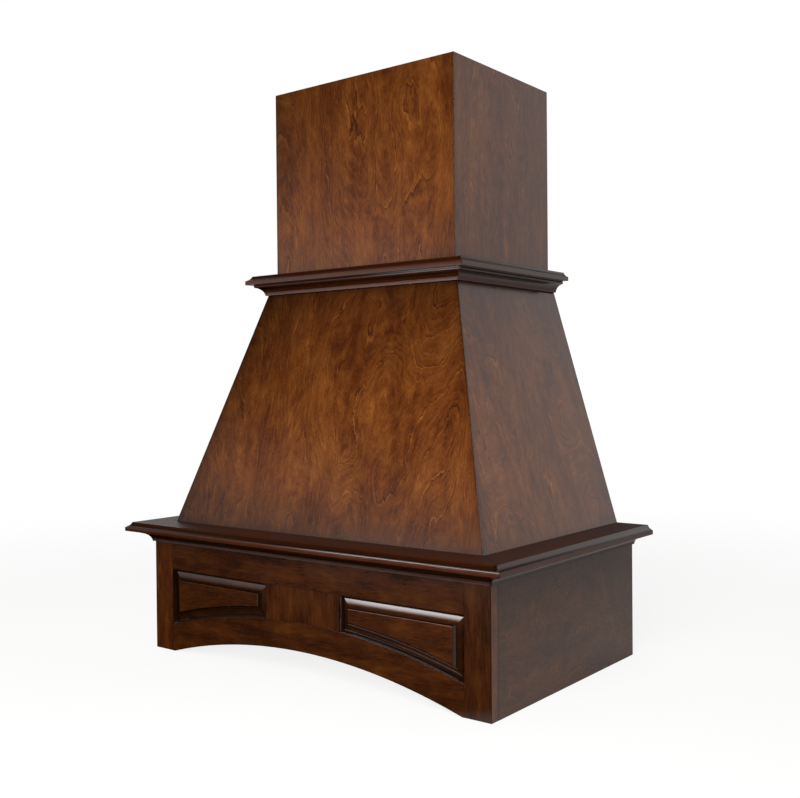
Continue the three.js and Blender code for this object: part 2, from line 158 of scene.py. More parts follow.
# Birch and maple under a dark wiping stain, a brown glaze left in the corners and a
# sprayed satin lacquer. The eye gets sparse toothed growth rings, each a dark line
# with a light one beside it, fine curls that run with them, cloudy orange and brown
# patches where the stain took unevenly, and a soft sheen. "grain" holds each board's
# own way along, across and into the wood, in metres, and "glaze" how much dark
# brown lies there: partly real glaze, partly painted shade laid in the hollows, under
# the mouldings and at the feet, where shade falls. Pooled in a corner it shines, and
# well over 1 it was rubbed off and left flat, as on the shelf tops.
def stainedWood(name, look):
    material, add = startMaterial(name)
    grain = add("Attribute", attribute_name="grain").outputs["Vector"]
    glaze = add("Attribute", attribute_name="glaze").outputs["Fac"]
    tone = add("Attribute", attribute_name="tone").outputs["Fac"]
    layers = layNoises(add, grain, look["noises"])
    along, across, _ = add("SeparateXYZ", [grain]).outputs

    perMetre = (1000 / look["ringLong"], 1000 / look["ringWide"], 0.0)
    rings = add("VectorMath", [grain, perMetre], operation="DOT_PRODUCT").outputs[1]
    rings = blendLayers(add, layers, look["ringBends"], rings, False)
    place = add("Math", [rings], operation="FRACT")
    shown = add("MapRange", [layers["patch"], *look["ringPatch"]], **smooth)
    width = look["lineShare"]
    layers["darkLine"] = add("MapRange", [place, 0.0, width, shown, 0.0])
    layers["lightLine"] = add("MapRange", [place, 1 - width, 1.0, 0.0, shown])

    curls = (look["curlsPerRing"], 1000 / look["curlLong"], 1000 / look["curlWide"])
    curlPlace = add("CombineXYZ", [rings, along, across])
    curlPlace = add("VectorMath", [curlPlace, curls], operation="MULTIPLY")
    marks = {"Vector": curlPlace, "Scale": 1.0, "Detail": 2.0, "Roughness": 0.6}
    layers["curl"] = add("TexNoise", marks)

    shade = blendLayers(add, layers, look["weights"])
    shade = blendLayers(add, layers, look["lines"], shade, False)
    stain = add("ValToRGB", [shade], look["stain"])
    toned = add("VectorMath", {0: stain, "Scale": tone}, operation="SCALE")
    uneven = blendLayers(add, layers, look["uneven"], 1.0)
    # How far the dark brown of glaze and painted shade covers the stain's colour.
    rubbed = add("MapRange", [glaze, *look["rubbedFrom"]])
    left = add("Math", [rubbed, -look["rubbedOff"], glaze], operation="MULTIPLY_ADD")
    covered = add("Math", [left, uneven], operation="MULTIPLY", use_clamp=True)
    glazeColour = toLinear(look["glazeColour"])
    colour = add("Mix", {0: covered, 6: toned, 7: glazeColour}, data_type="RGBA").outputs[2]

    roughness = blendLayers(add, layers, look["glossSpread"], look["roughness"])
    roughness = add("Math", [rubbed, look["dull"], roughness], operation="MULTIPLY_ADD")
    wet = add("MapRange", [glaze, *look["pooledFrom"], 0.0, look["wet"]])
    roughness = add("Math", [roughness, wet], operation="SUBTRACT")
    relief = blendLayers(add, layers, look["relief"])
    relief = blendLayers(add, layers, look["lineRelief"], relief, False)
    finishMaterial(add, look, colour, roughness, relief)
    return material


# Rotary-cut birch veneer on the wide boards: rings 20 to 60 mm apart, curls of 5 mm,
# clouds of 60 to 150 mm. Real pores are 0.1 mm wide; they are drawn 2 mm wide to show.
veneerLook = {
    "noises": {  # long, wide, detail
        "bend": (900, 210, 1.0),
        "sway": (210, 90, 1.0),
        "tooth": (46, 13, 2.0),
        "patch": (260, 60, 2.0),
        "cloud": (190, 70, 2.0),
        "mottle": (40, 16, 3.0),
        "band": (700, 26, 1.0),
        "pore": (10, 2.0, 1.0),
    },
    "ringLong": 330,
    "ringWide": 64,
    "ringBends": {"bend": 12.0, "sway": 2.0, "tooth": 0.42},
    "ringPatch": (0.3, 0.52),
    "lineShare": 0.07,
    "curlsPerRing": 8.0,
    "curlLong": 34,
    "curlWide": 60,
    "weights": {"cloud": 0.65, "mottle": 0.36, "band": 0.35, "curl": 0.68, "pore": 0.4},
    "lines": {"lightLine": 0.27, "darkLine": -0.26},
    "stain": [
        (0.08, "#3a1a07"), (0.32, "#56290c"), (0.5, "#6c3812"), (0.7, "#804819"), (0.96, "#a06026"),
    ],
    "glazeColour": "#150803",
    "uneven": {"cloud": 0.7, "mottle": 0.7},
    "rubbedFrom": (1.05, 1.35),
    "rubbedOff": 1.15,
    "dull": 0.43,
    "pooledFrom": (0.7, 0.95),
    "wet": 0.08,
    "roughness": 0.17,
    "glossSpread": {"cloud": 0.06, "pore": 0.06},
    "relief": {"curl": 0.5, "pore": 0.8},
    "lineRelief": {"darkLine": -0.8},
    "bump": 0.18,
    "bumpDepth": 0.0004,
    "fixed": {"IOR": 1.5},
}

# Solid maple of the frame and panels: close, nearly straight rings and darker clouds.
# Its stain is darker than the veneer's, partly the maple's own and partly painted shade.
frameLook = {
    **veneerLook,
    "noises": {
        **veneerLook["noises"],
        "bend": (420, 60, 1.0),
        "sway": (150, 80, 1.0),
        "tooth": (70, 17, 2.0),
        "patch": (150, 40, 2.0),
        "cloud": (110, 50, 2.5),
        "band": (500, 22, 1.0),
    },
    "ringLong": 400,
    "ringWide": 14,
    "ringBends": {"bend": 5.0, "sway": 1.0, "tooth": 0.3},
    "ringPatch": (0.5, 0.7),
    "curlsPerRing": 4.0,
    "curlLong": 40,
    "weights": {"cloud": 0.7, "mottle": 0.45, "band": 0.4, "curl": 0.5, "pore": 0.25},
    "lines": {"lightLine": 0.08, "darkLine": -0.14},
    "stain": [
        (0.08, "#2a1207"), (0.32, "#42200c"), (0.5, "#562b10"), (0.7, "#6c3913"), (0.96, "#8c4f1c"),
    ],
    "roughness": 0.15,
    "relief": {"band": 0.4, "pore": 0.5},
    "bump": 0.1,
}

# Maple mouldings: the same stain, redder and darker, with long straight grain.
mouldingLook = {
    **frameLook,
    "noises": {
        **frameLook["noises"],
        "bend": (900, 60, 1.0),
        "cloud": (200, 40, 2.0),
        "band": (600, 9, 1.0),
    },
    "weights": {"cloud": 0.4, "mottle": 0.25, "band": 0.3, "curl": 0.2, "pore": 0.15},
    "stain": [
        (0.08, "#260d04"), (0.32, "#3c1a08"), (0.5, "#4e230b"), (0.7, "#622f10"), (0.96, "#7e4019"),
    ],
}


# Unfinished stock inside: rotary birch plywood and planed poplar. Poplar gives a pale
# straight grain, plywood gives wide soft clouds, and stripes where its edge is cut.
def rawWood(name, look, way):
    material, add = startMaterial(name)
    place = add("TexCoord").outputs["Object"]
    quarter = math.pi / 2
    turn = {"x": (0.0, 0.0, 0.0), "y": (0.0, 0.0, -quarter), "z": (0.0, quarter, 0.0)}[way]
    turned = add("Mapping", {"Vector": place, "Rotation": turn})
    layers = layNoises(add, turned, look["noises"])
    shade = blendLayers(add, layers, look["weights"])
    colour = add("ValToRGB", [shade], look["colours"])
    if "ply" in look:
        level = add("SeparateXYZ", [place]).outputs[2]
        plies = add("Math", [level, 1000 / look["ply"]], operation="MULTIPLY")
        ply = add("Math", [plies, 1.0], operation="PINGPONG")
        facing = add("NewGeometry").outputs["True Normal"]
        upright = add("Math", [add("SeparateXYZ", [facing]).outputs[2]], operation="ABSOLUTE")
        edge = add("MapRange", [upright, *look["edgeTilt"], look["plyShow"], 0.0])
        stripe = add("MapRange", [ply, *look["plyLine"], 0.0, edge])
        mixed = {0: stripe, 6: colour, 7: toLinear(look["plyColour"])}
        colour = add("Mix", mixed, data_type="RGBA").outputs[2]
    roughness = blendLayers(add, layers, {"fibre": 0.15}, look["roughness"])
    relief = blendLayers(add, layers, {"streak": 0.5, "fibre": 0.5})
    finishMaterial(add, look, colour, roughness, relief)
    return material


poplarLook = {
    "noises": {"streak": (250, 14, 3.0), "cloud": (330, 70, 1.0), "fibre": (16, 1.5, 1.0)},
    "weights": {"streak": 0.9, "cloud": 0.7, "fibre": 0.35},
    "colours": [(0.2, "#a98f66"), (0.5, "#c2a97d"), (0.8, "#d3bd93")],
    "roughness": 0.6,
    "bump": 0.25,
    "bumpDepth": 0.0004,
    "fixed": {"IOR": 1.45},
}
uprightPlyLook = {
    **poplarLook,
    "noises": {"streak": (200, 45, 3.0), "cloud": (330, 160, 1.0), "fibre": (16, 1.8, 1.0)},
    "weights": {"streak": 0.9, "cloud": 0.8, "fibre": 0.3},
    "colours": [(0.2, "#b08a58"), (0.5, "#c9a673"), (0.8, "#dabd8c")],
    "roughness": 0.55,
}
plywoodLook = {
    **uprightPlyLook,
    "ply": 1.5,
    "plyLine": (0.4, 0.6),
    "plyShow": 0.6,
    "edgeTilt": (0.3, 0.6),
    "plyColour": "#8a6238",
}


# Zinc-plated steel wood screws: bright bluish metal with faint plating mottle.
def platedSteel(name, look):
    material, add = startMaterial(name)
    layers = layNoises(add, add("TexCoord").outputs["Object"], look["noises"])
    colour = add("ValToRGB", [layers["mottle"]], look["colours"])
    roughness = blendLayers(add, layers, {"mottle": 0.2}, look["roughness"])
    finishMaterial(add, look, colour, roughness, layers["mottle"])
    return material


zincLook = {
    "noises": {"mottle": (1.1, 1.1, 3.0)},
    "colours": [(0.3, "#a4a8ab"), (0.7, "#c9cccd")],
    "roughness": 0.34,
    "bump": 0.1,
    "bumpDepth": 0.0001,
    "fixed": {"Metallic": 1.0},
}

veneer = stainedWood("stained_birch_veneer_satin_lacquer", veneerLook)
solidMaple = stainedWood("stained_maple_frame_satin_lacquer", frameLook)
mapleMoulding = stainedWood("stained_maple_moulding_satin_lacquer", mouldingLook)
plywood = rawWood("birch_plywood_raw", plywoodLook, "x")
plywoodUpright = rawWood("birch_plywood_raw_upright", uprightPlyLook, "z")
poplar = {way: rawWood(f"poplar_raw_{way}", poplarLook, way) for way in "xyz"}
zinc = platedSteel("zinc_plated_steel", zincLook)
print("materials made")


# Points from one end to the other on an arc that bulges by sag to the left of the way.
def arc(start, end, sag, steps=6):
    length = math.dist(start, end)
    radius = length**2 / (8 * sag) + sag / 2
    along = ((end[0] - start[0]) / length, (end[1] - start[1]) / length)
    centreX = (start[0] + end[0]) / 2 + along[1] * (radius - sag)
    centreY = (start[1] + end[1]) / 2 - along[0] * (radius - sag)
    first = math.atan2(start[1] - centreY, start[0] - centreX)
    turn = math.atan2(end[1] - centreY, end[0] - centreX) - first
    turn -= 2 * math.pi * round(turn / (2 * math.pi))
    angles = [first + turn * i / steps for i in range(steps + 1)]
    reach = abs(radius)
    return [(centreX + reach * math.cos(a), centreY + reach * math.sin(a)) for a in angles]


# Rounds the corners of a closed section that "radii" names by their index.
def easeCorners(section, radii, steps=6):
    eased = []
    count = len(section)
    for i, (u, v, *rest) in enumerate(section):
        radius = radii.get(i)
        if not radius:
            eased.append((u, v, *rest))
            continue
        here = Vector((u, v))
        before = Vector(section[i - 1][:2]) - here
        after = Vector(section[(i + 1) % count][:2]) - here
        halfAngle = before.angle(after) / 2
        before.normalize()
        after.normalize()
        back = radius / math.tan(halfAngle)
        centre = here + (before + after).normalized() * (radius / math.sin(halfAngle))
        first, last = here + before * back - centre, here + after * back - centre
        for k in range(steps + 1):
            spoke = first.slerp(last, k / steps).normalized() * radius
            eased.append((*(centre + spoke), *rest))
    return eased


def placeObject(name, data):
    placed = bpy.data.objects.new(name, data)
    bpy.context.scene.collection.objects.link(placed)
    return placed


# Makes a closed mesh piece from points in millimetres, with its wood's own
# directions, its glaze and painted shade, and its tone stored on the points.
def makePiece(name, points, faces, wood, glaze, sharp=(), ease=40.0):
    mesh = bpy.data.meshes.new(name)
    mesh.from_pydata([Vector(p) * mm for p in points], [], faces)
    ways = list(zip(wood["ways"], wood["offset"]))
    grain = [Vector(p).dot(way) * mm + offset for p in points for way, offset in ways]
    tone = wood["tone"]
    storeWood(mesh, "grain", "FLOAT_VECTOR", grain)
    storeWood(mesh, "glaze", "FLOAT", glaze)
    storeWood(mesh, "tone", "FLOAT", [tone(p) if callable(tone) else tone for p in points])
    for material in wood["materials"]:
        mesh.materials.append(material)
    for face, inside in zip(mesh.polygons, wood["inside"]):
        face.material_index = int(inside)
    shadeByAngle(mesh, ease, sharp)
    return placeObject(name, mesh)


def storeWood(mesh, name, kind, values):
    held = mesh.attributes.new(name, kind, "POINT")
    held.data.foreach_set("vector" if kind == "FLOAT_VECTOR" else "value", values)


def shadeByAngle(mesh, ease, sharp=()):
    work = bmesh.new()
    work.from_mesh(mesh)
    work.verts.ensure_lookup_table()
    bmesh.ops.recalc_face_normals(work, faces=work.faces)
    limit = math.radians(ease)
    for face in work.faces:
        face.smooth = True
    for edge in work.edges:
        edge.smooth = len(edge.link_faces) == 2 and edge.calc_face_angle(0.0) < limit
    for one, other in sharp:
        edge = work.edges.get((work.verts[one], work.verts[other]))
        if edge:
            edge.smooth = False
    work.to_mesh(mesh)
    work.free()
    mesh.update()


# Skins rings of equal count and closes both ends.
def skinFaces(ringCount, count):
    faces = []
    for low in range(0, (ringCount - 1) * count, count):
        for i in range(count):
            after = (i + 1) % count
            faces.append((low + i, low + after, low + count + after, low + count + i))
    last = (ringCount - 1) * count
    return [*faces, tuple(reversed(range(count))), tuple(range(last, last + count))]


def skinPiece(name, rings, wood, ease=40.0):
    points = [point[:3] for ring in rings for point in ring]
    glaze = [point[3] for ring in rings for point in ring]
    faces = skinFaces(len(rings), len(rings[0]))
    return makePiece(name, points, faces, wood, glaze, ease=ease)


def dress(piece, body, slot, *nodes):
    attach(piece, body)
    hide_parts(*nodes)


# Directions of a board's wood; each board gets its own stretch of grain.
boardNumbers = itertools.count(1)
grainStep = (1.37, 0.83, 0.29)


def woodOf(way, materials, tone, into=(0, 1, 0), inside=()):
    number = next(boardNumbers)
    along = Vector([float(way == axis) for axis in "xyz"])
    into = Vector(into)
    return {
        "ways": (along, into.cross(along), into),
        "offset": [step * number for step in grainStep],
        "tone": tone,
        "materials": materials,
        "inside": inside,
    }


# Sum of layers that thin out with distance, each as (amount, reach in millimetres).
def fade(distance, layers):
    return sum(amount * math.exp(-max(0.0, distance) / reach) for amount, reach in layers)


# Adds the glaze that lies along a joint or an edge, and the painted shade along a stile's foot, to a
# point's own.
def edgeGlaze(own, distance, layers):
    return max(own, min(1.0, own + fade(distance, layers)))


# Apron frame: cope-and-stick members in 22 mm maple. Glaze and painted shade are listed as (distance
# from an edge, amount) where they are laid on points, and as layers where they fade.
apron = {
    "stickWidth": 5.2,
    "stickStep": 1.6,
    "stickLand": 0.8,
    "stickDepth": 7.0,
    "stickSag": 0.5,
    "grooveFront": 9.0,
    "grooveBack": 15.6,
    "grooveDepth": 9.5,
    "arris": 0.35,
    "outerArris": 0.4,
    "railArris": 0.5,
    "backArris": 0.3,
    "jointGap": 0.08,
    "stickGlaze": 0.9,
    "besideStick": [(16.0, 0.0), (6.0, 0.04), (2.2, 0.12), (0.9, 0.2), (0.0, 0.3)],
    "besideCorner": [(0.0, 0.95), (1.2, 0.35), (3.5, 0.12), (9.0, 0.03)],
    "besideRail": [(0.0, 0.25), (1.5, 0.15), (9.0, 0.03)],
    "footGlaze": [(0.3, 2.5), (0.12, 22.0)],
    "jointGlaze": [(0.15, 1.2), (0.08, 14.0)],
    "outerLines": (20.0, 1.6),
    "easedFoot": [(0.0, 0.5), (0.15, 0.15)],  # level and how far it is eased there
    "stileLevels": [0.5, 3.0, 14.0, 50.0, 110.0, 190.0, 225.0, 240.0, 247.0, 262.0],
    "nearJoint": [0.0, 0.5, 1.5, 5.0, 18.0],
    "stileJoint": [0.0, 0.5, 1.5, 5.0, 16.0],
    "centreLines": (10.0, 37.3, 67.3),
    "centreShares": (0.35, 0.65),
    "evenSteps": 18,
    "unevenEnd": 40.0,
    # Tones of the apron's pieces, partly their own and partly painted shade that keeps the apron
    # darker than the canopy and the top rail dark under the mantel; sideTone paints the stiles'
    # outer sides lighter, a painted light.
    "leftTone": 0.86,
    "rightTone": 0.5,
    "sideTone": 1.45,
    "topTone": 0.51,
    "bottomTone": 0.62,
    "centreTone": 0.68,
    "leftPanelTone": 0.5,
    "rightPanelTone": 0.74,
}


# Moulded edge as (distance into the wood, depth, glaze and painted shade): face first, back last.
def stickProfile():
    edge, step = apron["stickWidth"], apron["stickStep"]
    land, deep = edge - apron["stickLand"], apron["stickDepth"]
    curve = arc((land, step), (0.0, deep), -apron["stickSag"], 7)
    profile = [
        *[(edge + out, 0.0, glaze) for out, glaze in apron["besideStick"]],
        # The stick's step and hollow go near black: glaze with painted shade in the recess.
        (edge, step, 1.0),
        (land, step, 1.0),
        *[(u, v, apron["stickGlaze"]) for u, v in curve[1:]],
        (0.0, apron["grooveFront"], 1.0),
        (apron["grooveDepth"], apron["grooveFront"], 1.0),
        (apron["grooveDepth"], apron["grooveBack"], 0.6),
        (0.0, apron["grooveBack"], 0.6),
        (0.0, hood["frameThick"], 0.3),
    ]
    return easeCorners(profile, {4: apron["arris"], 6: apron["arris"]})


# How far a coped end reaches over a moulded edge at a depth from the face; at the very
# face it also covers the eased arris, so that the joint closes to a hairline.
def stickAt(depth):
    edge, step, deep = apron["stickWidth"], apron["stickStep"], apron["stickDepth"]
    if depth <= apron["arris"]:
        return edge + apron["arris"]
    if depth >= deep:
        return 0.0
    if depth <= step + 1e-6:
        return edge
    curve = arc((edge - apron["stickLand"], step), (0.0, deep), -apron["stickSag"], 24)
    for (u0, v0), (u1, v1) in zip(curve, curve[1:]):
        if v0 <= depth <= v1:
            return u0 + (u1 - u0) * (depth - v0) / (v1 - v0)
    return 0.0


def stile(hand, side):
    profile = stickProfile()
    count = len(profile)
    width = hood["half"] - hood["sightHalf"]
    outer = [(width, hood["frameThick"], 0.2)]
    outer += [(width, depth, 0.0) for depth in apron["outerLines"]]
    outer += [(width - back, 0.0, glaze) for back, glaze in apron["besideCorner"]]
    eased = {count: apron["backArris"], count + 3: apron["outerArris"]}
    section = easeCorners([*profile, *outer], eased)
    levels = [(level, 0.0) for level in (*apron["stileLevels"], hood["apronHeight"])]
    rings = []
    for level, ease in apron["easedFoot"] + levels:
        ring = []
        for across, depth, own in section:
            x = side * (hood["sightHalf"] + min(across, width - ease))
            # Glaze and painted shade darken the stile towards its foot.
            glaze = edgeGlaze(own, level, apron["footGlaze"])
            ring.append((x, frontY + max(depth, ease), level, glaze))
        rings.append(ring)

    # Painted light: the stile's outer side takes a lighter tone than its front.
    def toneAt(point):
        onSide = abs(point[0]) > hood["half"] - 0.1 and point[1] > frontY + 1.0
        return apron["sideTone"] if onSide else apron[f"{hand}Tone"]

    piece = skinPiece(f"{hand}_stile", rings, woodOf("z", [solidMaple], toneAt), creaseAngle)
    dress(piece, "hood", "stained_face", f"apron_{hand}_stile")


# A rail between the stiles; heightOf gives z for (x, distance into the wood).
def railPiece(hand, width, heightOf):
    profile = stickProfile()
    count = len(profile)
    far = [(width, hood["frameThick"], 0.2)]
    far += [(width - back, 0.0, glaze) for back, glaze in apron["besideRail"]]
    eased = {count: apron["backArris"], count + 1: apron["railArris"]}
    section = easeCorners([*profile, *far], eased)
    near, steps = apron["nearJoint"], apron["evenSteps"]
    last = steps + len(near)
    rings = []
    for station in range(-last, last + 1):
        side, k = -1 if station < 0 else 1, abs(station)
        ring = []
        for across, depth, own in section:
            reach = hood["sightHalf"] + stickAt(depth) - apron["jointGap"]
            even = (reach - apron["unevenEnd"]) * k / steps
            x = side * (reach - near[last - k] if k > steps else even)
            glaze = edgeGlaze(own, reach - abs(x), apron["jointGlaze"])
            ring.append((x, frontY + depth, heightOf(x, across), glaze))
        rings.append(ring)
    wood = woodOf("x", [solidMaple], apron[f"{hand}Tone"])
    piece = skinPiece(f"{hand}_rail", rings, wood, creaseAngle)
    dress(piece, "hood", "stained_face", f"apron_{hand}_rail")


def archHeight(x, radius):
    return archCentre + math.sqrt(radius**2 - x**2)


def centreStile():
    half, gap = hood["centreHalf"], apron["jointGap"]
    right = [(half - across, depth, glaze) for across, depth, glaze in stickProfile()]
    left = [(-x, depth, glaze) for x, depth, glaze in reversed(right)]
    inner = sorted(side * x for x in apron["centreLines"] for side in handSides.values())
    section = [*[(x, 0.0, 0.0) for x in inner], *right, *left]
    near = apron["stileJoint"]
    # Each ring stands at a share of the height, and so far above or below that share.
    places = [(0.0, up) for up in near] + [(share, 0.0) for share in apron["centreShares"]]
    places += [(1.0, -down) for down in reversed(near)]
    rings = []
    for share, beyond in places:
        ring = []
        for x, depth, own in section:
            foot = archHeight(x, sightRadius - stickAt(depth)) + gap
            top = hood["sightTop"] + stickAt(depth) - gap
            z = foot + (top - foot) * share + beyond
            glaze = edgeGlaze(own, min(z - foot, top - z), apron["jointGlaze"])
            ring.append((x, frontY + depth, z, glaze))
        rings.append(ring)
    wood = woodOf("z", [solidMaple], apron["centreTone"])
    piece = skinPiece("centre_stile", rings, wood, creaseAngle)
    dress(piece, "hood", "stained_face", "apron_centre_stile")


raised = {
    "width": 18.3,
    "gentle": (10.0, 6.81),
    "gentleSag": 0.22,
    "steepSag": 1.25,
    "fillet": 0.7,
    "proud": 1.8,
    "tongueFront": 9.3,
    "tongueBack": 15.3,
    "reach": 8.0,
    "arris": 0.9,
    "archSteps": 26,
    "sideSteps": 6,
    "fieldGlaze": [(0.0, 0.06), (1.2, 0.08), (4.0, 0.03), (14.0, 0.0)],
    "shadedReach": 12.0,
    "alongFrame": (0.7, 0.4),
    "everywhere": 0.3,
    "lessBelow": 0.05,
    "alongField": (0.15, 0.85),
    "fieldReach": (1.4, 4.2),
    "towardsSides": (0.8, 8.0),
}


# Ring of a panel at an inset from the sight edges: foot arc, far side, top, near side.
def panelRing(inset):
    x0, x1 = hood["centreHalf"] + inset, hood["sightHalf"] - inset
    top, radius = hood["sightTop"] - inset, sightRadius + inset
    z0, z1 = archHeight(x0, radius), archHeight(x1, radius)
    across = [i / raised["archSteps"] for i in range(raised["archSteps"])]
    upward = [i / raised["sideSteps"] for i in range(raised["sideSteps"])]
    foot = [x0 + (x1 - x0) * share for share in across]
    return [
        *[(x, archHeight(x, radius)) for x in foot],
        *[(x1, z1 + (top - z1) * share) for share in upward],
        *[(x1 - (x1 - x0) * share, top) for share in across],
        *[(x0, top - (top - z0) * share) for share in upward],
    ]


# Glaze and painted shade in a panel's hollow: glaze all over, and painted shade along the frame,
# along the field's edge, most below it, and towards the sides low down.
def coveGlaze(x, z, inset):
    toSide = min(x - hood["centreHalf"], hood["sightHalf"] - x)
    toTop = hood["sightTop"] - z
    low = 1.0 - fade(toTop, [(1.0, raised["shadedReach"])])
    frame = fade(inset, [raised["alongFrame"]]) + raised["everywhere"] - raised["lessBelow"] * low
    amount, more = raised["alongField"]
    reach, further = raised["fieldReach"]
    field = fade(raised["width"] - inset, [(amount + more * low, reach + further * low)])
    return min(1.0, frame + field + low * fade(toSide, [raised["towardsSides"]]))


def raisedPanel(hand, side):
    width, face = raised["width"], -raised["proud"]
    front, back = raised["tongueFront"], raised["tongueBack"]
    cove = arc((0.0, front), raised["gentle"], raised["gentleSag"], 5)
    cove += arc(raised["gentle"], (width, face + raised["fillet"]), raised["steepSag"], 8)[1:]
    profile = [
        (-raised["reach"], back, 0.5),
        (-raised["reach"], front, 0.9),
        (-1.0, front, 1.0),
        *[(u, v, 0.0) for u, v in cove],
        *[(width + on, face, glaze) for on, glaze in raised["fieldGlaze"]],
    ]
    shaded = easeCorners(profile, {3 + len(cove): raised["arris"]})
    points, glaze = [], []
    for u, v, own in shaded:
        hollow = 0.0 <= u <= width and v > face + 1.0
        for x, z in panelRing(u):
            points.append((side * x, frontY + v, z))
            glaze.append(coveGlaze(x, z, u) if hollow else own)
    count = len(points) // len(shaded)
    across, upward = raised["archSteps"], raised["sideSteps"]
    corners = [0, across, across + upward, 2 * across + upward]
    starts = range(0, len(points) - count, count)
    sharp = [(low + corner, low + count + corner) for low in starts for corner in corners]
    wood = woodOf("x", [solidMaple], apron[f"{hand}PanelTone"])
    faces = skinFaces(len(shaded), count)
    piece = makePiece(f"{hand}_raised_panel", points, faces, wood, glaze, sharp, creaseAngle)
    dress(piece, "hood", "stained_face", f"apron_{hand}_panel")


for hand, side in handSides.items():
    stile(hand, side)
    raisedPanel(hand, side)
railPiece("top", hood["apronHeight"] - hood["sightTop"], lambda x, across: hood["sightTop"] + across)
railPiece(
    "bottom", hood["bottomRail"], lambda x, across: max(0.0, archHeight(x, sightRadius - across))
)
centreStile()
print("apron made")


# Boards of a box: stained outside, raw plywood inside, with softly eased arrises.
shell = {
    "arris": 0.6,
    "squareArris": 0.4,
    "backArris": 0.4,
    "endArris": 0.5,
    "footArris": 0.08,
    "jointGap": 0.1,
    "arrisGlaze": 0.5,
    "edgeGlaze": [(0.75, 2.2), (0.16, 26.0)],
    "fromEdge": [0.0, 0.7, 2.0, 5.0, 14.0, 40.0],
    "columns": 6,
    "rows": 5,
}


# Distances along a length, close near both ends and even between.
def stations(length, fromEdge, middle):
    reach = fromEdge[-1]
    inner = [reach + (length - 2 * reach) * i / (middle + 1) for i in range(1, middle + 1)]
    return [*fromEdge, *inner, *[length - d for d in reversed(fromEdge)]]


# Heights of a box's rings with how far the edge is eased there.
def endLevels(foot, top, more=()):
    ease, footEase = shell["endArris"], shell["footArris"]
    between = stations(top - foot, shell["fromEdge"][2:], shell["rows"])
    plain = [foot + footEase, foot + ease, top - ease, *[foot + d for d in between], *more]
    eased = [(foot, footEase), (top - 0.15, 0.35 * ease), (top, ease)]
    return sorted([*eased, *[(level, 0.0) for level in plain]])


# Points round a box's corner, from a face to the mitre, which stays short by the gap.
def arrisPoints():
    turns = [math.radians(angle) for angle in (15, 30, 45)]
    points = [(1 - math.sin(turn), 1 - math.cos(turn)) for turn in turns]
    points = [(shell["arris"] * u, shell["arris"] * v) for u, v in points]
    points[-1] = (points[-1][0] + shell["jointGap"], points[-1][1])
    return points


corner = arrisPoints()
columnCount = 2 * len(shell["fromEdge"]) + shell["columns"]


# A board's glaze along its edges, plus the painted shade of its box.
def boardGlaze(box, z, fromEdge):
    return min(1.0, edgeGlaze(0.0, fromEdge, shell["edgeGlaze"]) + box["shade"](z))


def frontRing(box, z, inset):
    radius, glaze = shell["arris"], shell["arrisGlaze"]
    half, front = box["half"](z) - inset, box["front"](z) + inset
    innerHalf = box["half"](z) - box["thick"][0] - shell["jointGap"]
    innerY = box["front"](z) + box["thick"][1]
    length = 2 * (half - radius)
    return [
        *[
            (d + radius - half, front, z, boardGlaze(box, z, min(d, length - d) + radius))
            for d in stations(length, shell["fromEdge"], shell["columns"])
        ],
        *[(half - u, front + v, z, glaze) for u, v in corner],
        (innerHalf, innerY, z, 0.0),
        (-innerHalf, innerY, z, 0.0),
        *[(u - half, front + v, z, glaze) for u, v in reversed(corner)],
    ]


def sideRing(box, side, z, inset):
    mitred, back, wallY = box["mitred"], shell["backArris"], hood["wallY"]
    start = shell["arris"] if mitred else shell["squareArris"]
    half, front = box["half"](z) - inset, box["front"](z) + (inset if mitred else 0.0)
    innerHalf = box["half"](z) - box["thick"][0]
    length = wallY - front - start - back
    ring = [
        (half, front + start + d, z, boardGlaze(box, z, min(d + start, length - d + back)))
        for d in stations(length, shell["fromEdge"], shell["columns"])
    ]
    ring += [(half - 0.12, wallY - 0.12, z, 0.3), (half - back, wallY, z, 0.2)]
    ring.append((innerHalf, wallY, z, 0.0))
    if mitred:
        innerY = box["front"](z) + box["thick"][1] + shell["jointGap"]
        ring.append((innerHalf, innerY, z, 0.0))
        ring += [(half - v, front + u, z, shell["arrisGlaze"]) for u, v in reversed(corner)]
    else:
        ring += [(innerHalf, front, z, 0.6), (half - start, front, z, 0.9)]
        ring.append((half - 0.1, front + 0.1, z, 0.6))
    return [(side * x, *rest) for x, *rest in ring]


def makeBox(name, box, hands, nodeEnd=""):
    for hand in hands:
        side = handSides.get(hand, 0)
        ringAt = partial(sideRing, box, side) if side else partial(frontRing, box)
        rings = [ringAt(z, inset) for z, inset in box["levels"]]
        first = columnCount + (1 if side else 2)
        inner = range(first, first + (3 if box["mitred"] else 2))
        inside = [i in inner for _ in rings[1:] for i in range(len(rings[0]))] + [False] * 2
        way = "z" if box["mitred"] else "y"
        into = (side, 0, 0) if side else (0, 1, 0)
        tone = box["sideTone"] if side else box["frontTone"]
        wood = woodOf(way, [veneer, plywoodUpright], tone, into, inside)
        piece = skinPiece(f"{name}_{hand}_board", rings, wood)
        dress(piece, box["body"], "stained_face", f"{name}_{hand}{nodeEnd}")


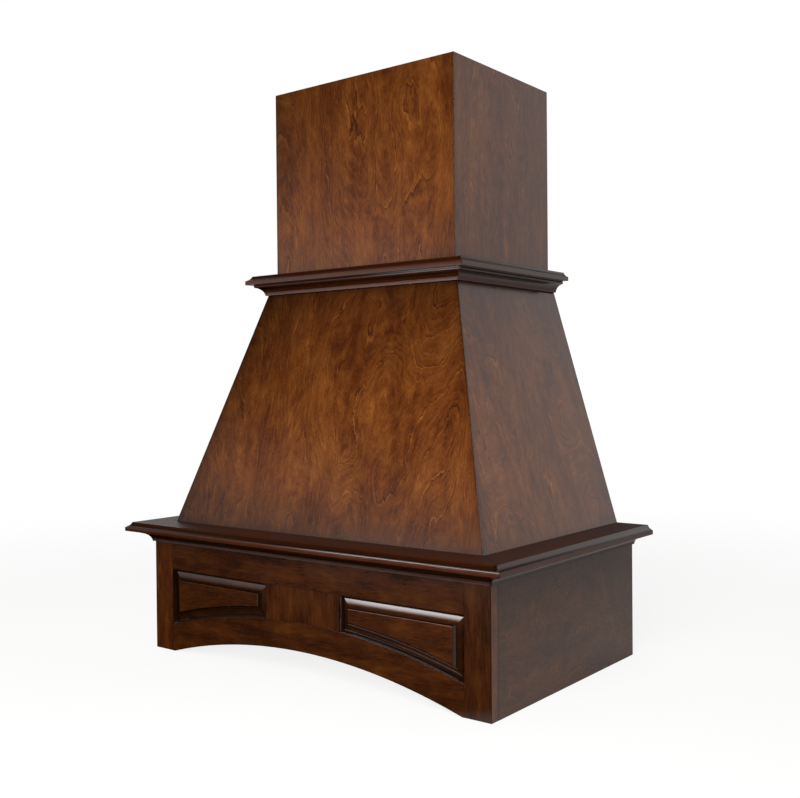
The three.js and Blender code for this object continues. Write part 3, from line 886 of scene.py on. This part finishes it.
canopy = {
    "footHalf": 421.2,
    "footDepth": 542.2,
    "topHalf": 258.85,
    "topDepth": 385.6,
    "thick": 12.7,
    "frontTone": 0.94,
    "sideTone": 1.02,
    # Painted shade as (amount, reach): under the crown's bed moulding and at the foot on the mantel.
    "underBed": [(0.5, 7.0), (0.2, 40.0)],
    "onMantel": [(0.5, 10.0)],
    "nearBed": (25.0, 28.0, 36.0, 50.0),
    "darkAbove": 560.0,
    "darkTop": 0.5,
    "darkLeft": (0.55, 45.0),
    "darkBelow": 400.0,
    "darkOver": 110.0,
    "darkFoot": 0.42,
}
bedHeight = 24.4
canopyHeight = hood["crownLevel"] - hood["mantelTop"]
sideSlope = (canopy["footHalf"] - canopy["topHalf"]) / canopyHeight
frontSlope = (canopy["footDepth"] - canopy["topDepth"]) / canopyHeight


def canopyHalf(z):
    return canopy["footHalf"] - sideSlope * (z - hood["mantelTop"])


def canopyFront(z):
    return hood["wallY"] - canopy["footDepth"] + frontSlope * (z - hood["mantelTop"])


# Painted shade on the canopy boards: darker under the crown's bed moulding and at the foot, where
# the canopy meets the mantel.
def canopyShade(z):
    bedFoot = hood["crownLevel"] - bedHeight
    return fade(bedFoot - z, canopy["underBed"]) + fade(z - hood["mantelTop"], canopy["onMantel"])


# Painted shade: the canopy's tone is made darker towards the crown above it, at the foot and along
# the front's left edge.
def canopyTone(tone, point):
    x, y, z = point
    above = canopy["darkAbove"]
    high = max(0.0, (z - above) / (hood["crownLevel"] - above))
    tone *= 1.0 - canopy["darkTop"] * high
    if y < canopyFront(z) + 5.0:
        low = max(0.0, (canopy["darkBelow"] - z) / canopy["darkOver"])
        tone *= 1.0 - fade(abs(x + canopyHalf(z)), [canopy["darkLeft"]])
        tone *= 1.0 - canopy["darkFoot"] * low
    return tone


nearBed = [hood["crownLevel"] - down for down in canopy["nearBed"]]
canopyBox = {
    "half": canopyHalf,
    "front": canopyFront,
    "thick": [canopy["thick"] * math.hypot(1, slope) for slope in (sideSlope, frontSlope)],
    "levels": endLevels(hood["mantelTop"], hood["crownLevel"], nearBed),
    "shade": canopyShade,
    "frontTone": partial(canopyTone, canopy["frontTone"]),
    "sideTone": partial(canopyTone, canopy["sideTone"]),
    "mitred": True,
    "body": "hood",
}
makeBox("canopy", canopyBox, ("front", "left", "right"))
print("canopy made")

chimney = {
    "half": 251.05,
    "depth": 377.8,
    "thick": 12.7,
    "frontTone": 0.98,
    "sideTone": 0.9,
    "onCrown": [(0.35, 3.0), (0.38, 22.0)],
    "darkAbove": 1000.0,
    "darkTop": 0.25,
}


def chimneyTone(point):
    above = chimney["darkAbove"]
    high = max(0.0, (point[2] - above) / (hood["chimneyTop"] - above))
    left = max(0.0, -point[0] / chimney["half"])
    return chimney["frontTone"] * (1.0 - chimney["darkTop"] * high * (1.0 + left))


chimneyBox = {
    "half": lambda z: chimney["half"],
    "front": lambda z: hood["wallY"] - chimney["depth"],
    "thick": (chimney["thick"], chimney["thick"]),
    "levels": endLevels(hood["crownTop"], hood["chimneyTop"]),
    # Painted shade: the chimney's boards darken just above the crown.
    "shade": lambda z: fade(z - hood["crownTop"], chimney["onCrown"]),
    "frontTone": chimneyTone,
    "sideTone": chimney["sideTone"],
    "mitred": True,
    "body": "chimney",
}
makeBox("chimney", chimneyBox, ("front", "left", "right"))

base = {"thick": 18.0, "tone": 0.56, "nearBed": (225.0, 238.0, 246.0), "atFoot": [(0.25, 3.0)]}
baseBox = {
    "half": lambda z: hood["half"],
    "front": lambda z: backY + 0.1,
    "thick": (base["thick"], base["thick"]),
    "levels": endLevels(0.0, hood["apronHeight"], base["nearBed"]),
    # Painted shade: the base's side boards darken at their foot on the floor.
    "shade": lambda z: fade(z, base["atFoot"]),
    "sideTone": base["tone"],
    "mitred": False,
    "body": "hood",
}
makeBox("base", baseBox, ("left", "right"), "_side")
print("chimney and base made")


def startTree(name, inputs):
    tree = bpy.data.node_groups.new(name, "GeometryNodeTree")
    newSocket = tree.interface.new_socket
    newSocket(name="Geometry", in_out="OUTPUT", socket_type="NodeSocketGeometry")
    sockets = {
        key: newSocket(name=key, in_out="INPUT", socket_type=f"NodeSocket{kind}").identifier
        for key, kind in inputs.items()
    }
    return tree, sockets, partial(addNode, tree)


def finishTree(add, shape, material):
    shape = add("GeometryNodeRealizeInstances", [shape])
    shape = add("GeometryNodeSetMaterial", {"Geometry": shape, "Material": material})
    add("NodeGroupOutput", [shape])


# Geometry Nodes tree for a length of moulding: the section, a closed ring of edges
# in (out, height), is swept along the run; each end is cut square or to a mitre, the
# glaze deepens at the mitres, and the wood's own directions are stored.
def mouldingTree(material):
    numbers = ("Start", "Start mitre", "End", "End mitre", "Turn", "Tone")
    numbers += ("Mitre gap", "Mitre glaze", "Glaze reach")
    inputs = {"Section": "Geometry", **dict.fromkeys(numbers, "Float")}
    inputs |= {"Place": "Vector", "Grain offset": "Vector", "Stations": "Int"}
    tree, sockets, add = startTree("moulded_run", inputs)
    given = add("NodeGroupInput").outputs
    section = add("GeometryNodeMeshToCurve", [given["Section"]])
    line = add("GeometryNodeCurvePrimitiveLine")
    path = add("GeometryNodeResampleCurve", {"Curve": line, "Count": given["Stations"]})
    swept = {"Curve": path, "Profile Curve": section, "Fill Caps": True}
    shape = add("GeometryNodeCurveToMesh", swept)
    out, height, share = add("SeparateXYZ", [add("GeometryNodeInputPosition")]).outputs

    # Stations crowd towards the ends, where the glaze changes quickly.
    fromMiddle = add("Math", [share, 2.0, -1.0], operation="MULTIPLY_ADD")
    distance = add("Math", [fromMiddle], operation="ABSOLUTE")
    toEnd = add("Math", [1.0, distance], operation="SUBTRACT")
    crowd = add("Math", [toEnd, 3.0], operation="POWER")
    crowded = add("Math", [1.0, crowd], operation="SUBTRACT")
    way = add("Math", [fromMiddle], operation="SIGN")
    moved = add("Math", [way, crowded], operation="MULTIPLY")
    share = add("Math", [moved, 0.5, 0.5], operation="MULTIPLY_ADD")

    # A mitred end stands further out by as much as the section does, less half the gap.
    reach = add("Math", [out, given["Mitre gap"]], operation="SUBTRACT")
    ends = []
    for end, sign in (("Start", -1.0), ("End", 1.0)):
        signed = add("Math", [reach, sign], operation="MULTIPLY")
        parts = [signed, given[f"{end} mitre"], given[end]]
        ends.append(add("Math", parts, operation="MULTIPLY_ADD"))
    start, stop = ends
    span = add("Math", [stop, start], operation="SUBTRACT")
    along = add("Math", [span, share, start], operation="MULTIPLY_ADD")

    glaze = add("GeometryNodeInputNamedAttribute", ["glaze"], data_type="FLOAT").outputs[0]
    for near, far, flag in ((start, along, "Start mitre"), (along, stop, "End mitre")):
        fromEnd = add("Math", [far, near], operation="SUBTRACT")
        reach = given["Glaze reach"]
        depth = add("MapRange", [fromEnd, 0.0, reach, given["Mitre glaze"], 0.0])
        glaze = add("Math", [depth, given[flag], glaze], operation="MULTIPLY_ADD")
    wood = add("CombineXYZ", [along, height, out])
    wood = add("VectorMath", [wood, given["Grain offset"]])
    stored = (
        ("glaze", "FLOAT", glaze), ("grain", "FLOAT_VECTOR", wood), ("tone", "FLOAT", given["Tone"]),
    )
    for name, kind, value in stored:
        inputs = {"Geometry": shape, "Name": name, "Value": value}
        shape = add("GeometryNodeStoreNamedAttribute", inputs, data_type=kind)
    inward = add("Math", [out, -1.0], operation="MULTIPLY")
    laid = add("CombineXYZ", [along, inward, height])
    shape = add("GeometryNodeSetPosition", {"Geometry": shape, "Position": laid})
    turn = add("CombineXYZ", {2: given["Turn"]})
    inputs = {"Geometry": shape, "Translation": given["Place"], "Rotation": turn}
    finishTree(add, add("GeometryNodeTransform", inputs), material)
    return tree, sockets


# Runs a Geometry Nodes tree on a source mesh and keeps the result as a plain piece.
def bakeTree(name, source, tree, sockets, values):
    maker = placeObject(f"{name}_maker", source)
    modifier = maker.modifiers.new("tree", "NODES")
    modifier.node_group = tree
    for key, value in values.items():
        modifier[sockets[key]] = value
    graph = bpy.context.evaluated_depsgraph_get()
    mesh = bpy.data.meshes.new_from_object(maker.evaluated_get(graph))
    mesh.name = name
    maker.modifiers.clear()
    bpy.data.objects.remove(maker)
    bpy.data.meshes.remove(source)
    return placeObject(name, mesh)


def sectionMesh(name, section):
    mesh = bpy.data.meshes.new(name)
    count = len(section)
    points = [(u * mm, v * mm, 0.0) for u, v, _ in section]
    mesh.from_pydata(points, [(i, (i + 1) % count) for i in range(count)], [])
    storeWood(mesh, "glaze", "FLOAT", [glaze for _, _, glaze in section])
    return mesh


moulding = {
    "shelfThick": 20.0,
    "mantelOverhang": 48.5,
    "mantelBoard": 128.0,
    "crownOverhang": 52.5,
    "crownBoard": 92.5,
    "noseHeight": 9.4,
    "noseLean": -0.05,
    "noseBulge": 0.12,
    "noseTopRound": 0.26,
    "noseFootRound": 0.3,
    "noseLedge": 2.6,
    "noseStep": 1.0,
    "lipInset": 11.3,
    "lipRound": 0.8,
    "lipArris": 0.5,
    "edgeSag": 1.3,
    "bedTopOut": 24.3,
    "bedFootOut": 5.0,
    "bedFootHeight": 0.8,
    "bedFootArris": 0.15,
    "bedBack": 0.3,
    "beadTop": (-0.9, -2.0),
    "beadFoot": (-2.5, -6.4),
    "beadSag": 1.3,
    "beadLedge": 0.7,
    "bedSag": 3.6,
    "bedSteps": 12,
    "mitreGap": 0.12,
    "noseGlaze": 0.12,
    # Glaze amounts; in the edge cove, the bead and the bed moulding they also hold painted shade in
    # the hollows and under the shelf.
    "edgeGlaze": (0.65, 0.3, 3.0),  # least, more at the start, points until it fades
    "topGlaze": 1.5,
    "bedFootGlaze": [1.6, 1.54, 1.48, 1.42],
    "bedGlaze": (0.05, 1.3, 0.9),  # least, more, power of the share up the cove
    "beadGlaze": (0.1, 0.9, 0.8),
    "mitreGlaze": 0.7,
    "glazeReach": 4.0,
    "stations": 15,
    "mantelTone": 0.9,
    "mantelBedTone": 0.95,
    "crownTone": 0.9,
    # The crown's bed moulding is toned lighter than the other runs, a painted light in its shade
    # under the crown.
    "crownBedTone": 1.3,
}


# Glaze and painted shade that thin out from point to point.
def fadingGlaze(points, amounts):
    least, more, reach = amounts
    return [(u, v, more * math.exp(-k / reach) + least) for k, (u, v) in enumerate(points)]


# Shelf board as (out from the nose, height above the underside, glaze and painted shade).
def shelfSection(boardWidth):
    top, nose = moulding["shelfThick"], moulding["noseHeight"]
    lip, lipRound = moulding["lipInset"], moulding["lipRound"]
    ledge, foot = moulding["noseLedge"], moulding["noseFootRound"]
    coveEnds = ((-ledge, nose + moulding["noseStep"]), (-lip, top - lipRound))
    cove = arc(*coveEnds, moulding["edgeSag"], 8)
    face = arc((0.0, foot), (-moulding["noseLean"], nose), -moulding["noseBulge"])
    section = [
        (-boardWidth, 0.0, 0.4),
        (30.0 - boardWidth, 0.0, 0.4),
        # Painted shade on the underside just behind the nose.
        (-6.0, 0.0, 1.0),
        (-foot, 0.0, 1.0),
        *[(u, v, moulding["noseGlaze"]) for u, v in face[:-1]],
        (*face[-1], 0.0),
        (0.2 - ledge, nose, 0.6),
        (-ledge, nose + 0.1, 1.0),
        *fadingGlaze(cove[:-1], moulding["edgeGlaze"]),
        (*cove[-1], 0.3),
        (-lip - lipRound, top, 0.8),
        (-lip - 2.0, top, moulding["topGlaze"]),
        (-boardWidth, top, moulding["topGlaze"]),
    ]
    noseTop = 3 + len(face)
    lipTop = noseTop + 2 + len(cove)
    return easeCorners(section, {noseTop: moulding["noseTopRound"], lipTop: moulding["lipArris"]})


# Bed moulding as (out from the face it lies on, height below the shelf, glaze and painted shade).
def bedSection(backSlope):
    out, foot = moulding["bedFootOut"], -bedHeight
    ends = (moulding["beadTop"], moulding["beadFoot"])
    beadTop, beadFoot = ((moulding["bedTopOut"] + u, v) for u, v in ends)
    coveTop = (beadFoot[0] - moulding["beadLedge"], beadFoot[1])
    back = moulding["bedBack"] if backSlope else 0.0
    steps = moulding["bedSteps"]
    cove = arc((out, moulding["bedFootHeight"] + foot), coveTop, moulding["bedSag"], steps)
    bead = arc(beadFoot, beadTop, -moulding["beadSag"], 9)
    footGlaze = moulding["bedFootGlaze"]
    least, more, power = moulding["bedGlaze"]
    shares = [k / len(cove) for k in range(len(footGlaze), steps)]
    rising = [min(1.0, least + more * share**power) for share in shares]
    section = [
        (back - backSlope * bedHeight, 0.0, 0.5),
        (back, foot, 0.6),
        (out, foot, footGlaze[0]),
        *[(u, v, glaze) for (u, v), glaze in zip(cove, [*footGlaze, *rising, 0.95])],
        *fadingGlaze(bead[:-1], moulding["beadGlaze"]),
        (*beadTop, 0.8),
        (beadTop[0] - 0.2, 0.0, 1.0),
    ]
    return easeCorners(section, {2: moulding["bedFootArris"]})


def mouldingRuns(name, section, half, depth, level, tone):
    front, quarter = hood["wallY"] - depth, math.pi / 2
    # start, whether it is mitred, end, whether it is mitred, turn, place
    runs = {
        "front": (-half, 1.0, half, 1.0, 0.0, (0.0, front, level)),
        "right": (0.0, 1.0, depth, 0.0, quarter, (half, front, level)),
        "left": (0.0, 0.0, depth, 1.0, -quarter, (-half, hood["wallY"], level)),
    }
    for number, (hand, run) in enumerate(runs.items()):
        start, startMitre, end, endMitre, turn, place = run
        values = {
            "Start": start * mm,
            "Start mitre": startMitre,
            "End": end * mm,
            "End mitre": endMitre,
            "Mitre gap": moulding["mitreGap"] * mm,
            "Mitre glaze": moulding["mitreGlaze"],
            "Glaze reach": moulding["glazeReach"] * mm,
            "Turn": turn,
            "Place": tuple(p * mm for p in place),
            "Grain offset": (3.1 * number + level * 0.01, 0.7 * number, level * 0.003),
            "Tone": tone,
            "Stations": moulding["stations"],
        }
        source = sectionMesh(f"{name}_{hand}_section", section)
        piece = bakeTree(f"{name}_{hand}_run", source, runTree, runSockets, values)
        shadeByAngle(piece.data, creaseAngle)
        dress(piece, "hood", "stained_moulding", f"{name}_{hand}")


runTree, runSockets = mouldingTree(mapleMoulding)
bedFoot = hood["crownLevel"] - bedHeight
bedSlope = min(sideSlope, frontSlope)
crownHalf, crownDepth = canopyHalf(bedFoot), hood["wallY"] - canopyFront(bedFoot)
runs = (
    ("mantel", "cove", bedSection(0.0), hood["half"], hood["depth"]),
    ("mantel", "shelf", shelfSection(moulding["mantelBoard"]), hood["half"], hood["depth"]),
    ("crown", "cove", bedSection(bedSlope), crownHalf, crownDepth),
    ("crown", "shelf", shelfSection(moulding["crownBoard"]), chimney["half"], chimney["depth"]),
)
for place, kind, section, half, depth in runs:
    over = moulding[f"{place}Overhang"] if kind == "shelf" else 0.0
    level = hood["apronHeight"] if place == "mantel" else hood["crownLevel"]
    tone = moulding[f"{place}Tone" if kind == "shelf" else f"{place}BedTone"]
    mouldingRuns(f"{place}_{kind}", section, half + over, depth + over, level, tone)
print("mouldings made")

# Flat-headed wood screws with a cross recess, set on a point each.
screws = {
    "headRadius": 4.2,
    "headHeight": 2.6,
    "rimHeight": 0.9,
    "domeRadius": 2.4,
    "shankRadius": 1.9,
    "length": 26.0,
    "recessLength": 4.6,
    "recessWidth": 0.9,
    "recessDepth": 1.8,
}
recessTurn = 0.4


def screwTree(material):
    inputs = {"Places": "Geometry", **dict.fromkeys(screws, "Float")}
    tree, sockets, add = startTree("wood_screws", inputs)
    given = add("NodeGroupInput").outputs
    headRadius, rimHeight = given["headRadius"], given["rimHeight"]

    def lifted(shape, height, share, turn=0.0):
        level = add("Math", [height, share], operation="MULTIPLY")
        lift = {"Translation": add("CombineXYZ", {2: level}), "Rotation": (0.0, 0.0, turn)}
        return add("GeometryNodeTransform", {"Geometry": shape, **lift})

    rise = add("Math", [given["headHeight"], rimHeight], operation="SUBTRACT")
    shank = {"Vertices": 16, "Radius": given["shankRadius"], "Depth": given["length"]}
    shank = add("GeometryNodeMeshCylinder", shank)
    rim = {"Vertices": 24, "Radius": headRadius, "Depth": rimHeight}
    rim = add("GeometryNodeMeshCylinder", rim)
    dome = {"Radius Top": given["domeRadius"], "Radius Bottom": headRadius, "Depth": rise}
    dome = add("GeometryNodeMeshCone", {"Vertices": 24, **dome})
    head = add("GeometryNodeMeshBoolean", operation="UNION")
    for shape, height, share in (
        (shank, given["length"], -0.5), (rim, rimHeight, 0.5), (dome, rimHeight, 1.0),
    ):
        tree.links.new(lifted(shape, height, share).outputs[0], head.inputs["Mesh 2"])
    deep = add("Math", [given["recessDepth"], 2.0], operation="MULTIPLY")
    size = add("CombineXYZ", [given["recessLength"], given["recessWidth"], deep])
    bar = add("GeometryNodeMeshCube", {"Size": size})
    screw = add("GeometryNodeMeshBoolean", {"Mesh 1": head}, operation="DIFFERENCE")
    for turn in (recessTurn, recessTurn + math.pi / 2):
        cut = lifted(bar, given["headHeight"], 1.0, turn)
        tree.links.new(cut.outputs[0], screw.inputs["Mesh 2"])
    placed = {"Points": given["Places"], "Instance": screw}
    finishTree(add, add("GeometryNodeInstanceOnPoints", placed), material)
    return tree, sockets


screwNodes = [f"liner_screw_{hand}_{place}" for hand in handSides for place in ("front", "rear")]
screwPoints = []
for node in screwNodes:
    low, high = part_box(node)
    level = high[2] - screws["headHeight"] * mm
    screwPoints.append(((low[0] + high[0]) / 2, (low[1] + high[1]) / 2, level))
places = bpy.data.meshes.new("screw_places")
places.from_pydata(screwPoints, [], [])
sizes = {key: value * mm for key, value in screws.items()}
boardScrews = bakeTree("liner_screws", places, *screwTree(zinc), sizes)
shadeByAngle(boardScrews.data, 35.0)
dress(boardScrews, "hood", "screw_steel", *screwNodes)
print("screws made")

# Inner pieces keep their own solids and get raw plywood or poplar, grain lengthwise.
innerPieces = {
    "x": [
        "base_hanging_rail", "base_lower_rail", "liner_front_cleat", "canopy_front_foot_cleat",
        "canopy_lower_rail", "canopy_hanging_rail", "chimney_front_locator",
        "chimney_lower_rail", "chimney_upper_rail",
    ],
    "y": ["liner_{}_cleat", "canopy_{}_foot_cleat", "chimney_{}_locator"],
    "z": ["base_{}_corner_block", "canopy_{}_corner_strip", "chimney_{}_corner_strip"],
}
inner = {"liner_board": plywood, "duct_deck": plywood}
for way, names in innerPieces.items():
    for name in names:
        inner |= {name.format(hand): poplar[way] for hand in handSides}
for node, material in inner.items():
    for held in frame["nodes"][node].material_slots:
        held.material = material
print("inner pieces dressed")

# A pale floor and a white surround. Mirrored in the satin faces, the room is bright
# behind the hood and dim in front of it, so that the fronts keep their deep colour
# and the sides pick up the backdrop. Each wall glows around one direction.
studio = {
    "floorReach": 14.0,
    "floorLevel": -0.0006,
    "floorColour": "#e9e7e4",
    "floorBounce": "#8f8b87",
    "floorDark": "#0a0a0a",
    "shadowShare": 0.25,
    "nearGlow": 1.12,
    "fade": (1.0, 3.2),
    "paleWay": (0.6, 0.8, 0.0),
    "mirroredFloor": (-0.03, 0.05),
    "mirroredGlow": 0.08,
    "fill": 0.3,
    "wallFill": {"way": (0.0, 1.0, 0.0), "from": 0.6, "to": 0.95, "level": 1.2},
    "dimRoom": 0.02,
    "walls": [
        {"way": (0.35, 0.94, -0.25), "from": 0.55, "to": 0.78, "level": 0.82},
        {"way": (-0.95, 0.3, 0.0), "from": 0.74, "to": 0.93, "level": 1.1},
        {"way": (-0.69, -0.724, 0.0), "from": 0.965, "to": 0.993, "level": 0.5},
    ],
}
white = (1.0, 1.0, 1.0, 1.0)


def makeFloor():
    reach, level = studio["floorReach"], studio["floorLevel"]
    mesh = bpy.data.meshes.new("floor")
    corners = [(-reach, -reach), (reach, -reach), (reach, reach), (-reach, reach)]
    mesh.from_pydata([(x, y, level) for x, y in corners], [], [(0, 1, 2, 3)])
    floor = placeObject("floor", mesh)
    material, add = startMaterial("pale_studio_floor")
    place = add("TexCoord").outputs["Object"]
    path = add("LightPath").outputs
    paint, bounce, dark = (
        add("BsdfDiffuse", [toLinear(studio[name])])
        for name in ("floorColour", "floorBounce", "floorDark")
    )
    away = add("VectorMath", [place], operation="LENGTH").outputs[1]
    strength, bright = (
        add("MapRange", [away, *studio["fade"], near, 1.0], **smooth)
        for near in (studio["nearGlow"], 1.0 - studio["shadowShare"])
    )
    glow = add("Emission", [white, strength])
    seen = add("MixShader", [bright, paint, glow])
    behind = add("VectorMath", [place, studio["paleWay"]], operation="DOT_PRODUCT").outputs[1]
    pale = add("MapRange", [behind, *studio["mirroredFloor"]], **smooth)
    glowing = add("MixShader", [studio["mirroredGlow"], paint, glow])
    mirrored = add("MixShader", [pale, dark, glowing])
    surface = add("MixShader", [path["Is Glossy Ray"], bounce, mirrored])
    surface = add("MixShader", [path["Is Camera Ray"], surface, seen])
    add("OutputMaterial", [surface])
    material.cycles.emission_sampling = "NONE"
    mesh.materials.append(material)


def makeWorld():
    world = bpy.data.worlds.new("studio")
    bpy.context.scene.world = world
    world.use_nodes = True
    world.node_tree.nodes.clear()
    add = partial(addNode, world.node_tree)
    way = add("TexCoord").outputs["Generated"]
    levels = []
    for wall in (studio["wallFill"], *studio["walls"]):
        towards = Vector(wall["way"]).normalized()
        facing = add("VectorMath", [way, towards], operation="DOT_PRODUCT").outputs[1]
        lit = [facing, wall["from"], wall["to"], 0.0, wall["level"]]
        levels.append(add("MapRange", lit, **smooth))
    fill = add("Math", [studio["fill"], levels[0]], operation="MAXIMUM")
    room = studio["dimRoom"]
    for lit in levels[1:]:
        room = add("Math", [room, lit], operation="MAXIMUM")
    path = add("LightPath").outputs
    rays = [path["Is Glossy Ray"], path["Is Transmission Ray"]]
    mirrored = add("Math", rays, operation="MAXIMUM")
    level = add("Mix", {0: mirrored, 2: fill, 3: room}, data_type="FLOAT")
    level = add("Math", [level, path["Is Camera Ray"]], operation="MAXIMUM")
    add("OutputWorld", [add("Background", [white, level])])
    world.cycles.sampling_method = "NONE"


# The key is a soft box in front, beside the camera. The low screen at the front left
# lights nothing by itself: it is what the coves, the nose and the foot of the canopy
# mirror, bright low down and to its right, fading upwards and to the left.
lamps = {
    "key": {
        "place": (0.9, -2.0, 1.3), "aim": (0.0, 0.0, 0.6), "size": (1.3, 1.3),
        "power": 50.0, "lights": True,
    },
    "screen": {
        "place": (-1.05, -1.95, 0.8), "aim": (0.0, -0.2, 0.8), "size": (2.2, 1.5),
        "power": 10.4, "lights": False,
    },
}
screenGlow = {
    "colour": "#f6fafe",
    "low": (0.05, 0.2),
    "high": (0.92, 0.4),
    "left": (-1.42, -1.1),
    "bright": 13.0,
    "dimHigh": (1.45, 0.85),
    "dim": 0.42,
}


def makeLamps():
    for name, lamp in lamps.items():
        light = bpy.data.lights.new(name, "AREA")
        light.shape = "RECTANGLE"
        light.size, light.size_y = lamp["size"]
        light.energy = lamp["power"]
        made = placeObject(name, light)
        made.location = lamp["place"]
        aim = Vector(lamp["aim"]) - Vector(lamp["place"])
        made.rotation_mode = "QUATERNION"
        made.rotation_quaternion = aim.to_track_quat("-Z", "Y")
        made.visible_diffuse = lamp["lights"]
    light = bpy.data.lights["screen"]
    light.use_nodes = True
    light.node_tree.nodes.clear()
    add = partial(addNode, light.node_tree)
    x, _, z = add("SeparateXYZ", [add("NewGeometry").outputs["Position"]]).outputs
    glow = screenGlow["bright"]
    for name, value in (("low", z), ("high", z), ("left", x)):
        share = add("MapRange", [value, *screenGlow[name]], **smooth)
        glow = add("Math", [share, glow], operation="MULTIPLY")
    share = add("MapRange", [z, *screenGlow["dimHigh"]], **smooth)
    glow = add("Math", [share, screenGlow["dim"], glow], operation="MULTIPLY_ADD")
    add("OutputLight", [add("Emission", [toLinear(screenGlow["colour"]), glow])])


# Camera found from the edges of the photograph.
view = {
    "place": (1432.0, -1776.5, 600.0),
    "azimuth": 37.778,
    "elevation": -0.81,
    "roll": -0.508,
    "focal": 1022.6,
    "frameWidth": 800.0,
    "sensor": 36.0,
    "clip": (0.05, 60.0),
}


def makeCamera():
    azimuth, elevation, roll = (math.radians(view[key]) for key in ("azimuth", "elevation", "roll"))
    level = math.cos(elevation)
    sideways, forward = -math.sin(azimuth) * level, math.cos(azimuth) * level
    ahead = Vector((sideways, forward, math.sin(elevation)))
    right = ahead.cross(Vector((0.0, 0.0, 1.0))).normalized()
    up = right.cross(ahead)
    acrossImage = right * math.cos(roll) + up * math.sin(roll)
    upImage = up * math.cos(roll) - right * math.sin(roll)
    camera = bpy.data.cameras.new("camera")
    camera.sensor_width = view["sensor"]
    camera.sensor_fit = "HORIZONTAL"
    camera.lens = view["focal"] / view["frameWidth"] * view["sensor"]
    camera.clip_start, camera.clip_end = view["clip"]
    made = placeObject("camera", camera)
    turn = Matrix((acrossImage, upImage, -ahead)).transposed()
    made.matrix_world = Matrix.Translation(Vector(view["place"]) * mm) @ turn.to_4x4()
    bpy.context.scene.camera = made


makeFloor()
makeWorld()
makeLamps()
makeCamera()
bpy.context.scene.view_settings.view_transform = "Standard"
print("studio made")

bpy.context.view_layer.update()
